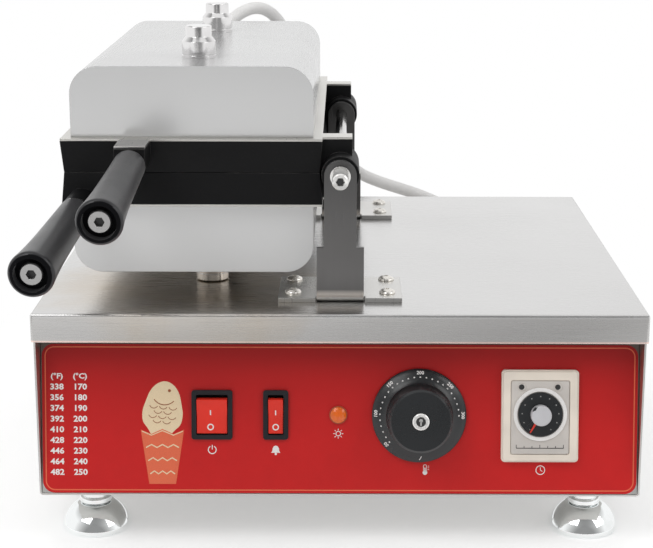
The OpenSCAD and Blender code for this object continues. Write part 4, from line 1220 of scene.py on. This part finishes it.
@dataclass
class Hoses:
    """Two wiring hoses in woven sleeves: one between the heads, one from the lower head into the cabinet."""

    diameter: float = 10.0
    sides: int = 20
    jumper: Sequence[Point] = (
        (-104, 348, 128), (-104, 353, 128), (-102.6, 361.7, 130), (-98.4, 373.9, 135.4), (-92, 384.3, 142.2),
        (-83.9, 394, 148.3), (-74.5, 403.9, 151.5), (-65.6, 414.4, 149.9), (-57.5, 423.9, 143.6), (-50.6, 430.5, 133.4),
        (-45.1, 434.1, 121.1), (-41.2, 434.5, 107.7), (-39.3, 432.1, 94.1), (-39.3, 427.3, 80.9), (-41.5, 420.6, 68.8),
        (-45.3, 411.8, 58.7), (-49.8, 401.1, 50.9), (-54.2, 389, 45.4), (-57.5, 375.8, 42.1), (-59.4, 362, 40.5),
        (-60, 353, 40), (-60, 348, 40))
    base: Sequence[Point] = (
        (-32, 348, 40), (-32, 353, 40), (-30, 362.7, 39.9), (-24.5, 376.5, 39.1), (-16.6, 388.9, 37.2),
        (-7.9, 400.1, 33), (-0.1, 410.1, 25.2), (8, 418.1, 15.7), (18.3, 424.6, 7.2), (30.6, 430, 0.8),
        (43.7, 434.5, -4.5), (57.3, 438.1, -9.5), (71, 440.4, -14.8), (84.5, 440.9, -20.8), (97.3, 439.1, -28.1),
        (108.1, 434.8, -37.3), (114.9, 428.2, -48.6), (116.7, 419.6, -60.6), (114.1, 409.2, -70.7),
        (109.4, 396.5, -76.7), (107, 387, -78), (107, 382, -78))

    def path(self, route: Sequence[Point]) -> list[Vector]:
        """Smooth path through a route's points, in metres in the part's frame.

        Args:
            route: Points as the part's source gives them.

        Returns:
            Points of the path, evenly close.
        """
        spots = [Vector((x * MM, (y - ORIGIN_Y) * MM, (z + LID_Z) * MM)) for x, y, z in route]
        padded = [spots[0] * 2 - spots[1], *spots, spots[-1] * 2 - spots[-2]]
        fine = []
        for k in range(1, len(padded) - 2):
            a, b, c, d = padded[k - 1:k + 3]
            for step in range(4):
                t = step / 4
                fine.append(0.5 * (2 * b + (c - a) * t + (2 * a - 5 * b + 4 * c - d) * t * t
                                   + (3 * b - 3 * c + d - a) * t ** 3))
        fine.append(spots[-1])
        return fine

    def tube(self, name: str, path: Sequence[Vector]) -> bpy.types.Mesh:
        """Closed round tube along a path, with a UV map for its weave.

        Args:
            name: Name of the mesh.
            path: Points in metres.

        Returns:
            The mesh.
        """
        shape = bmesh.new()
        uv = shape.loops.layers.uv.new("UVMap")
        radius = self.diameter * MM / 2
        side = Vector((1, 0, 0))
        rings, run, lengths = [], 0.0, []
        for k, spot in enumerate(path):
            along = (path[min(k + 1, len(path) - 1)] - path[max(k - 1, 0)]).normalized()
            side = (side - along * side.dot(along)).normalized()
            across = along.cross(side)
            run += (spot - path[k - 1]).length if k else 0.0
            lengths.append(run / (math.tau * radius))
            rings.append([shape.verts.new(spot + radius * (math.cos(a) * side + math.sin(a) * across))
                          for a in (math.tau * s / self.sides for s in range(self.sides))])
        for k in range(len(rings) - 1):
            for s in range(self.sides):
                face = shape.faces.new((rings[k][s], rings[k][(s + 1) % self.sides],
                                        rings[k + 1][(s + 1) % self.sides], rings[k + 1][s]))
                corners = ((s, k), (s + 1, k), (s + 1, k + 1), (s, k + 1))
                for loop, (column, row) in zip(face.loops, corners):
                    loop[uv].uv = (column / self.sides, lengths[row])
                face.smooth = True
        shape.faces.new(rings[0][::-1])
        shape.faces.new(rings[-1])
        bmesh.ops.recalc_face_normals(shape, faces=shape.faces[:])
        mesh = bpy.data.meshes.new(name)
        shape.to_mesh(mesh)
        shape.free()
        return mesh

    def build(self, paints: Paints) -> None:
        """Make both hoses.

        Args:
            paints: The materials.
        """
        for name, node, route, first, second in (
                ("jumper_hose_sleeve", "jumper_hose", self.jumper, "upper_head", "lower_head"),
                ("base_hose_sleeve", "base_hose", self.base, "lower_head", "cabinet")):
            path = self.path(route)
            mesh = self.tube(name, path)
            mesh.materials.append(paints.get(SLEEVE))
            hose = bpy.data.objects.new(name, mesh)
            bpy.context.scene.collection.objects.link(hose)
            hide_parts(node)
            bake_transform(hose)


@dataclass
class ControlPanel:
    """Prints, marks and loose trim of the control panel. Lengths are millimetres on the panel."""

    width: float = 379.6
    film_low: float = 0.2
    film_h: float = 95.6
    control_v: float = 50.8
    power_u: float = -81.3
    alarm_u: float = -40.8
    lamp_u: float = -1.0
    dial_u: float = 50.4
    timer_u: float = 127.0
    ring_v: float = 52.2
    face_v: float = 50.0
    swing: float = 16.0

    def build(self, paints: Paints) -> None:
        """Make all prints and trim.

        Args:
            paints: The materials.
        """
        self.border(paints)
        self.table(paints)
        self.picture(paints)
        self.pictograms(paints)
        self.rocker_marks(paints)
        self.dial_scale(paints)
        self.timer_trim(paints)

    def film(self, u: float, v: float, spin: float = 0.0) -> Matrix:
        """Place of a drawing on the film."""
        return PANEL.matrix(u, v, PANEL.film + 0.02, spin)

    def border(self, paints: Paints) -> None:
        """Orange line inside the film's edge."""
        edge = self.width / 2 - 0.6 - 1.9
        line = Print("film_border", Ink.ORANGE, "cabinet")
        low, high = self.film_low + 1.9, self.film_low + self.film_h - 1.9
        line.stroke(rounded_outline(-edge, low, edge, high, 5.8), 0.75, self.film(0, 0), closed=True)
        line.piece(paints)

    def table(self, paints: Paints) -> None:
        """Two columns of matching temperatures."""
        white = Print("film_number_table", Ink.WHITE, "cabinet")
        rows = [("(°F)", "(°C)")] + [(str(round(c * 1.8 + 32)), str(c)) for c in range(170, 251, 10)]
        for k, row in enumerate(rows):
            for u, text in zip((-180.0, -165.2), row):
                wide = Matrix.Diagonal((1.12, 1, 1, 1))
                white.words(text, 5.2 if k else 4.7, self.film(u, 75.1 - k * 6.86) @ wide)
        white.piece(paints)

    def picture(self, paints: Paints) -> None:
        """Plain motif: a cream fish cake upright in an orange paper pocket."""
        orange = Print("film_motif_pocket", Ink.ORANGE, "cabinet")
        cream = Print("film_motif_cake", Ink.CREAM, "cabinet")
        brown = Print("film_motif_lines", Ink.BROWN, "cabinet")
        middle, size = -113.0, 2.05
        lay = [PANEL.matrix(middle, 50.0, PANEL.film + w, -96.0) for w in (0.02, 0.14)]
        cream.patch([(x * size, y * size) for x, y in self.cake_outline()], lay[0])
        for k in range(4):
            for j in ((-3.0, 0.0, 3.0) if k % 2 == 0 else (-1.5, 1.5)):
                brown.stroke([(p[0] * size, p[1] * size) for p in arc((-3.4 + k * 1.5, j), 1.35, -65, 65, 8)],
                             0.4, lay[1])
        brown.stroke([(p[0] * size, p[1] * size) for p in arc((-7.4, 0), 4.0, -50, 50, 12)], 0.55, lay[1])
        brown.disc(0.95, lay[1] @ Matrix.Translation((-8.0 * size, 1.4 * size, 0)), 14)
        pocket = PANEL.matrix(middle, 0.0, PANEL.film + 0.08)
        trim = PANEL.matrix(middle, 0.0, PANEL.film + 0.14)
        orange.patch([(-8.5, 6.0), (8.5, 6.0), (13.8, 41.0), (7.0, 38.2), (0.0, 41.4), (-7.0, 38.2), (-13.8, 41.0)],
                     pocket)
        for k in range(3):
            level = 12.5 + k * 8.5
            half = 8.5 + 5.3 * (level - 6.0) / 35.0 - 1.6
            cream.stroke([(-half + 2 * half * t / 6, level + (1.9 if t % 2 else 0.0)) for t in range(7)], 0.8, trim)
        cream.stroke([(-13.0, 40.0), (-7.0, 37.4), (0.0, 40.4), (7.0, 37.4), (13.0, 40.0)], 0.6, trim)
        for part in (orange, cream, brown):
            part.piece(paints)

    def cake_outline(self) -> list[tuple[float, float]]:
        """Outline of a fish cake, nose at the left.

        Returns:
            Points in millimetres.
        """
        upper = [(-11, 0), (-10, 2.6), (-7.5, 4.6), (-4, 5.6), (-1, 6.4), (2.5, 6.0), (4.2, 4.2), (7, 2.4), (8.6, 2.2),
                 (11.4, 3.6), (12.6, 3.4), (11.8, 1.6)]
        points = upper + [(11.0, 0)] + [(x, -y) for x, y in upper[:0:-1]]
        for _ in range(2):
            pairs = list(zip(points, points[1:] + points[:1]))
            points = [(a[0] * s + b[0] * (1 - s), a[1] * s + b[1] * (1 - s)) for a, b in pairs for s in (0.75, 0.25)]
        return points

    def pictograms(self, paints: Paints) -> None:
        """Power, bell, lamp, thermometer and clock signs under the controls."""
        white = Print("film_pictograms", Ink.WHITE, "cabinet")
        power = self.film(self.power_u, 28.1)
        white.stroke(arc((0, 0), 2.5, 118, 422, 24), 0.6, power)
        white.stroke([(0, 0.2), (0, 3.2)], 0.6, power)
        bell = self.film(self.alarm_u, 27.9)
        side = [(-3.0, -1.6), (-2.2, -0.6), (-2.0, 1.2), (-1.2, 2.6)]
        white.patch([*side, (0, 3.0), *((-x, y) for x, y in side[::-1])], bell)
        white.disc(0.75, bell @ Matrix.Translation((0, -2.4, 0)))
        lamp = self.film(self.lamp_u, 38.7)
        white.stroke(arc((0, 0), 1.5, 0, 345, 22), 0.5, lamp, closed=True)
        for k in range(8):
            c, s = math.cos(math.tau * k / 8), math.sin(math.tau * k / 8)
            white.stroke([(2.2 * c, 2.2 * s), (3.2 * c, 3.2 * s)], 0.45, lamp)
        heat = self.film(self.dial_u + 4, 15.5)
        white.disc(1.5, heat @ Matrix.Translation((0, -1.8, 0)))
        white.stroke([(0, -1.4), (0, 1.4)], 0.7, heat)
        white.stroke([(-0.95, -0.6), *arc((0, 2.4), 0.95, 180, 0, 8), (0.95, -0.6)], 0.35, heat)
        for k in range(3):
            white.stroke([(1.7, 0.2 + k * 1.1), (2.6, 0.2 + k * 1.1)], 0.35, heat)
        clock = self.film(self.timer_u + 1, 15.5)
        white.stroke(arc((0, 0), 2.8, 0, 345, 28), 0.5, clock, closed=True)
        white.stroke([(0, 1.8), (0, 0), (1.3, -0.8)], 0.45, clock)
        white.piece(paints)

    def rocker_place(self, u: float, y: float) -> Matrix:
        """Place of a mark on a resting rocker.

        Args:
            u: Middle of the switch on the panel.
            y: Distance of the mark up the rocker.

        Returns:
            Matrix of the mark's drawing.
        """
        half = math.radians(self.swing / 2)
        face = Matrix.Translation((0, y, 5.4 + abs(y) * math.tan(half) + 0.02))
        face = face @ Matrix.Rotation(math.copysign(half, y), 4, "X")
        return PANEL.matrix(u, self.control_v, -3.5) @ Matrix.Rotation(half, 4, "X") @ face

    def rocker_marks(self, paints: Paints) -> None:
        """White I and O on both rockers."""
        for name, u in (("power_rocker", self.power_u - 0.9), ("alarm_rocker", self.alarm_u)):
            marks = Print(f"{name}_marks", Ink.WHITE, name, "red_plastic")
            marks.stroke([(0, -1.7), (0, 1.7)], 0.75, self.rocker_place(u, 2.3))
            marks.stroke(arc((0, 0), 1.75, 0, 345, 22), 0.75, self.rocker_place(u, -7.0), closed=True)
            marks.piece(paints)

    def skirt_place(self, radius: float, angle: float) -> Matrix:
        """Place of a figure on the conical skirt of the thermostat knob, its foot towards the middle."""
        slope = math.atan2(3.4, 7.5)
        height = 1.6 + 2.6 + (29.0 - radius) * math.tan(slope) + 0.03
        lay = Matrix.Translation((0, radius, height)) @ Matrix.Rotation(-slope, 4, "X")
        return PANEL.matrix(self.dial_u, self.control_v) @ Matrix.Rotation(math.radians(angle - 90), 4, "Z") @ lay

    def dial_scale(self, paints: Paints) -> None:
        """Dots, numbers and the off mark on the thermostat knob, and the slot of its cap."""
        white = Print("dial_numbers", Ink.WHITE, "temperature_dial", "dial_plastic")
        for k in range(6):
            angle = 221 - k * 44
            white.words(str(50 + 50 * k), 3.1, self.skirt_place(27.6, angle))
        white.stroke([(-0.6, -1.4), (0.2, 0.2), (0.9, 1.3)], 0.5, self.skirt_place(27.0, -88))
        white.piece(paints)
        dots = DotArc("dial_dots", 26, 25.0, 221, -220, 0.55, 0.3)
        rise = 1.6 + 2.6 + (29.0 - 25.0) * 3.4 / 7.5
        mesh = dots.mesh(paints.get(PrintInk(Ink.WHITE)), PANEL.matrix(self.dial_u, self.control_v, rise))
        add_piece("dial_dots", mesh, paints.get(PrintInk(Ink.WHITE)), "temperature_dial")
        dark = Print("dial_cap_ground", Ink.BLACK, "temperature_dial", "bright_metal")
        dark.disc(3.0, PANEL.matrix(self.dial_u, self.control_v, 28.63), 32)
        dark.piece(paints)
        key = Print("dial_cap_slot", Ink.GREY, "temperature_dial", "bright_metal")
        place = PANEL.matrix(self.dial_u, self.control_v, 28.68)
        key.disc(1.15, place @ Matrix.Translation((0, 0.8, 0)), 20)
        key.stroke([(0, 0.4), (0, -2.4)], 1.0, place)
        key.piece(paints)

    def timer_trim(self, paints: Paints) -> None:
        """Ring, lamps, scale, knob cap and pointer of the timer."""
        face_w = 0.4 + 5.0 - 1.8
        ring = Print("timer_ring", Ink.WHITE, "cabinet", "cream_plastic")
        ring.stroke(arc((0, 0), 15.8, 0, 354, 59), 2.4, PANEL.matrix(self.timer_u, self.ring_v, face_w + 2.22), True)
        ring.piece(paints)
        lamps = Print("timer_lamps", Ink.BLACK, "cabinet", "grey_plastic")
        for u in (-12.0, 10.9):
            lamps.disc(1.75, PANEL.matrix(self.timer_u + u, self.face_v + 19.6, face_w + 2.02), 24)
        lamps.stroke([(-15, -19.6), (15, -19.6)], 0.5, PANEL.matrix(self.timer_u, self.face_v, face_w + 1.22))
        for k in range(7):
            lamps.stroke([(-15 + k * 5, -19.6), (-15 + k * 5, -18.2 if k % 3 else -17.4)], 0.4,
                         PANEL.matrix(self.timer_u, self.face_v, face_w + 1.22))
        lamps.piece(paints)
        disc_w = face_w + 1.7 + 1.4
        dots = DotArc("timer_dots", 11, 11.6, 235, -290, 0.38, 0.2)
        grey = paints.get(PrintInk(Ink.GREY))
        add_piece("timer_dial_dots", dots.mesh(grey, PANEL.matrix(self.timer_u, self.ring_v, disc_w)), grey,
                  "timer_dial")
        shape = bmesh.new()
        top = disc_w + 6.0
        profile = [(6.5, disc_w + 0.3), (6.5, top - 0.3), (6.0, top + 0.25), (1.0, top + 0.35)]
        notch = math.radians(135)
        rings = [lambda angle, r=r, z=z: (r - 1.1 * math.exp(-((angle - notch) / 0.22) ** 2) * (z > disc_w + 2), z)
                 for r, z in profile]
        ringed_solid(shape, rings, 48, PANEL.matrix(self.timer_u, self.ring_v))
        add_piece("timer_knob_cap", finish_mesh(shape, "knob"), paints.get(KNOB_PLASTIC), "timer_dial")
        hand = Print("timer_pointer", Ink.RED, "timer_dial", "red_plastic")
        hand.patch([(6.4, -0.8), (13.2, -0.35), (13.2, 0.35), (6.4, 0.8)],
                   PANEL.matrix(self.timer_u, self.ring_v, disc_w + 1.45, 240), 0.12)
        hand.piece(paints)


@dataclass
class Cabinet:
    """Materials of the cabinet and the fastenings that stand on its lid."""

    screws: ScrewGrid = field(default_factory=ScrewGrid)
    end_facing: float = -0.85

    def build(self, paints: Paints) -> None:
        """Dress every CAD node and set the bracket screws.

        Args:
            paints: The materials.
        """
        record = frame["record"]
        riders = {node: body for body, nodes in record["behaviour"]["bodies"].items() for node in nodes}
        own = {"bracket_screws", "jumper_hose", "base_hose"}
        for name, finish in NODE_FINISHES.items():
            node = frame["nodes"][name]
            node.data.materials.clear()
            node.data.materials.append(paints.get(finish))
            if name not in own:
                mesh = refined_mesh(node.data, NODE_BEVELS.get(name, 0.0))
                piece = add_piece(f"{name}_dressed", mesh, paints.get(finish), riders[name])
                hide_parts(name)
                # Painted shade: grip faces that face the front get the darker, duller end plastic.
                if finish is GRIP_PLASTIC:
                    mesh.materials.append(paints.get(GRIP_END_SHADE_PLASTIC))
                    for face in mesh.polygons:
                        face.material_index = int(face.normal.y < self.end_facing)
        material = paints.get(DOME_METAL)
        mesh = self.screws.mesh(material)
        screws = add_piece("bracket_socket_screws", mesh, material, "cabinet")
        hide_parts("bracket_screws")


@dataclass
class Handles:
    """Painted shade: black patches on the socket floors of the grip bolts and of the shaft nut, where these recesses
    are in shade. Lengths are millimetres.
    """

    arm_front: float = 10.0 - ORIGIN_Y
    lean: float = 5.5
    upper: Point = (-129.2, PIVOT_Z + 10.15, 1.48)
    lower: Point = (-163.6, PIVOT_Z - 19.75, 3.7)
    socket_floor: float = 110.95
    grip_socket: float = 6.0
    nut_socket: float = 4.0
    nut_end: float = 8.5 - ORIGIN_Y

    def line(self, grip: Point) -> Matrix:
        """Place of a grip: Z runs from its lug to its front end.

        Args:
            grip: Its X, its height and its outward turn in degrees.

        Returns:
            Matrix from millimetres to metres in the part's frame.
        """
        x, z, splay = grip
        turn = Matrix.Rotation(math.radians(-splay), 4, "Z") @ Matrix.Rotation(math.radians(90 + self.lean), 4, "X")
        return Matrix.Scale(MM, 4) @ Matrix.Translation((x, self.arm_front, z)) @ turn

    def hexagon(self, across: float) -> list[tuple[float, float]]:
        """Outline of a hexagon by its width across the flats."""
        return arc((0, 0), across / 2 / math.cos(math.pi / 6), 0, 300, 5)

    def build(self, paints: Paints) -> None:
        """Make the black patches of painted shade on the socket floors.

        Args:
            paints: The materials.
        """
        # Painted shade: black hexagons on the socket floors of the grip bolts and the shaft nut.
        floor = Matrix.Translation((0, 0, self.socket_floor))
        for name, body, grip in (("upper", "upper_head", self.upper), ("lower", "lower_head", self.lower)):
            dark = Print(f"{name}_grip_socket", Ink.BLACK, body, "bright_metal")
            dark.patch(self.hexagon(self.grip_socket), self.line(grip) @ floor)
            dark.piece(paints)
        nut = Matrix.Scale(MM, 4) @ Matrix.Translation((0, self.nut_end + 0.9, PIVOT_Z))
        dark = Print("shaft_nut_socket", Ink.BLACK, "lower_head", "bright_metal")
        dark.patch(self.hexagon(self.nut_socket), nut @ Matrix.Rotation(math.radians(90), 4, "X"))
        dark.piece(paints)


@dataclass
class Studio:
    """Camera of the photograph, pale floor, white surround and soft lamps."""

    focal_px: float = 1680.3
    image_px: float = 653.0
    place: Point = (0.00276, (-1004.8 - ORIGIN_Y) * MM, (280.3 + LID_Z) * MM)
    pitch: float = 14.20
    roll: float = 0.15
    shift: float = -0.02767
    front_level: float = 0.3
    front_floor: Sequence[Point] = ((0.0, 0.66), (0.04, 0.5), (0.1, 0.5), (0.17, 0.97), (0.8, 0.95), (0.88, 0.2))
    soft_level: float = 0.5
    floor_half: float = 6.0
    floor_grey: float = 0.9
    floor_glow: float = 0.3
    floor_fade: tuple[float, float] = (0.3, 0.5)
    ceiling_level: float = 0.35

    def build(self) -> None:
        """Make the camera, the floor, the world and the lamps."""
        self.camera()
        self.floor()
        self.world()
        self.lamp("key_softbox", (-1.1, -1.3, 1.9), (0.0, 0.0, 0.15), 1.3, 17.0)
        self.lamp("fill_softbox", (1.6, -0.9, 1.4), (0.0, 0.0, 0.15), 1.2, 8.0)
        self.lamp("top_softbox", (0.0, 0.5, 2.2), (0.0, 0.05, 0.2), 2.4, 11.0)

    def camera(self) -> None:
        """Camera at the photograph's viewing angle."""
        data = bpy.data.cameras.new("camera")
        data.sensor_fit = "HORIZONTAL"
        data.sensor_width = 36.0
        data.lens = self.focal_px / self.image_px * 36.0
        data.shift_x = self.shift
        data.clip_start, data.clip_end = 0.05, 50.0
        camera = bpy.data.objects.new("camera", data)
        turn = Matrix.Rotation(math.radians(90 - self.pitch), 4, "X") @ Matrix.Rotation(math.radians(self.roll), 4, "Z")
        camera.matrix_world = Matrix.Translation(self.place) @ turn
        bpy.context.scene.collection.objects.link(camera)
        bpy.context.scene.camera = camera

    def seen(self, made: Nodes) -> Socket:
        """Value that is 1 for camera, glossy and transmission rays.

        Args:
            made: Tree that the nodes are added to.

        Returns:
            The value's socket.
        """
        path = made.node("ShaderNodeLightPath")
        clear = made.maths("MAXIMUM", path.outputs["Is Camera Ray"], path.outputs["Is Transmission Ray"])
        return made.maths("MAXIMUM", clear, path.outputs["Is Glossy Ray"])

    def front(self, made: Nodes) -> Socket:
        """Level of the floor in reflections: dimmer straight in front, where nobody puts a lamp.

        Args:
            made: Tree that the nodes are added to.

        Returns:
            The level's socket, 1 at the sides and behind.
        """
        flat = made.coords((1.0, 1.0, 0.0))
        unit = made.node("ShaderNodeVectorMath", operation="NORMALIZE")
        made.link(flat, unit.inputs[0])
        split = made.node("ShaderNodeSeparateXYZ")
        made.link(unit.outputs[0], split.inputs[0])
        sector = made.span(split.outputs["Y"], 0.0, 1.0, -0.8, -0.93)
        dim = made.ramp(made.span(made.along("Y"), 0.0, 1.0, -0.4, -3.0), *(
            (place, (level, level, level)) for place, level in self.front_floor))
        slant = made.maths("MULTIPLY", dim, made.span(made.along("X"), 1.28, 0.74, -0.25, 0.25))
        return made.maths("SUBTRACT", 1.0, made.maths("MULTIPLY", sector, made.maths("SUBTRACT", 1.0, slant)))

    def floor(self) -> None:
        """Large pale floor that keeps the object's soft shadow and is plain white further out."""
        mesh = bpy.data.meshes.new("floor")
        half = self.floor_half
        mesh.from_pydata([(-half, -half, 0), (half, -half, 0), (half, half, 0), (-half, half, 0)], [], [(0, 1, 2, 3)])
        floor = bpy.data.objects.new("floor", mesh)
        bpy.context.scene.collection.objects.link(floor)
        material = bpy.data.materials.new("floor_white")
        made = Nodes(material)
        diffuse = made.node("ShaderNodeBsdfDiffuse")
        diffuse.inputs["Color"].default_value = (self.floor_grey, self.floor_grey, self.floor_grey, 1.0)
        near = made.node("ShaderNodeEmission")
        made.link(made.maths("MULTIPLY", self.seen(made), self.floor_glow), near.inputs["Strength"])
        both = made.node("ShaderNodeAddShader")
        made.link(diffuse.outputs[0], both.inputs[0])
        made.link(near.outputs[0], both.inputs[1])
        length = made.node("ShaderNodeVectorMath", operation="LENGTH")
        made.link(made.coords(), length.inputs[0])
        far = made.maths("MULTIPLY", self.seen(made), made.span(length.outputs["Value"], 0.0, 1.0, *self.floor_fade))
        white = made.node("ShaderNodeEmission")
        path = made.node("ShaderNodeLightPath")
        clear = made.maths("MAXIMUM", path.outputs["Is Camera Ray"], path.outputs["Is Transmission Ray"])
        made.link(made.maths("MAXIMUM", clear, self.front(made)), white.inputs["Strength"])
        mix = made.node("ShaderNodeMixShader")
        made.link(far, mix.inputs[0])
        made.link(both.outputs[0], mix.inputs[1])
        made.link(white.outputs[0], mix.inputs[2])
        made.link(mix.outputs[0], made.node("ShaderNodeOutputMaterial").inputs["Surface"])
        mesh.materials.append(material)

    def world(self) -> None:
        """White surround for the camera, a room that is dimmer in front for reflections, and soft light."""
        world = bpy.data.worlds.new("surround")
        bpy.context.scene.world = world
        made = Nodes(world)
        back = made.node("ShaderNodeBackground")
        back.inputs["Color"].default_value = (1.0, 1.0, 1.0, 1.0)
        split = made.node("ShaderNodeSeparateXYZ")
        made.link(made.node("ShaderNodeTexCoord").outputs["Generated"], split.inputs[0])
        ceiling = made.span(split.outputs["Z"], 1.0, self.ceiling_level, 0.5, 0.85)
        room = made.maths("MULTIPLY", ceiling, made.span(split.outputs["Y"], self.front_level, 1.0, -0.85, -0.3))
        path = made.node("ShaderNodeLightPath")
        clear = made.maths("MAXIMUM", path.outputs["Is Camera Ray"], path.outputs["Is Transmission Ray"])
        shown = made.maths("MAXIMUM", clear, made.maths("MULTIPLY", path.outputs["Is Glossy Ray"], room))
        soft = made.maths("MULTIPLY", made.maths("SUBTRACT", 1.0, self.seen(made)), self.soft_level)
        made.link(made.maths("ADD", shown, soft), back.inputs["Strength"])
        made.link(back.outputs[0], made.node("ShaderNodeOutputWorld").inputs["Surface"])

    def lamp(self, name: str, place: Point, aim: Point, size: float, power: float) -> None:
        """Add a square soft lamp.

        Args:
            name: Name of the lamp.
            place: Where it stands.
            aim: Where it points.
            size: Side of the lamp in metres.
            power: Its power in watts.
        """
        data = bpy.data.lights.new(name, "AREA")
        data.shape, data.size, data.energy = "SQUARE", size, power
        lamp = bpy.data.objects.new(name, data)
        direction = Vector(aim) - Vector(place)
        lamp.matrix_world = Matrix.Translation(place) @ direction.to_track_quat("-Z", "Y").to_matrix().to_4x4()
        bpy.context.scene.collection.objects.link(lamp)


def main() -> None:
    logging.basicConfig(level=logging.INFO, format="%(message)s")
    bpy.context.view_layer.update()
    bpy.context.scene.view_settings.view_transform = "Standard"
    paints = Paints()
    Studio().build()
    Hoses().build(paints)
    Cabinet().build(paints)
    Handles().build(paints)
    ControlPanel().build(paints)


if __name__ == "__main__":
    main()
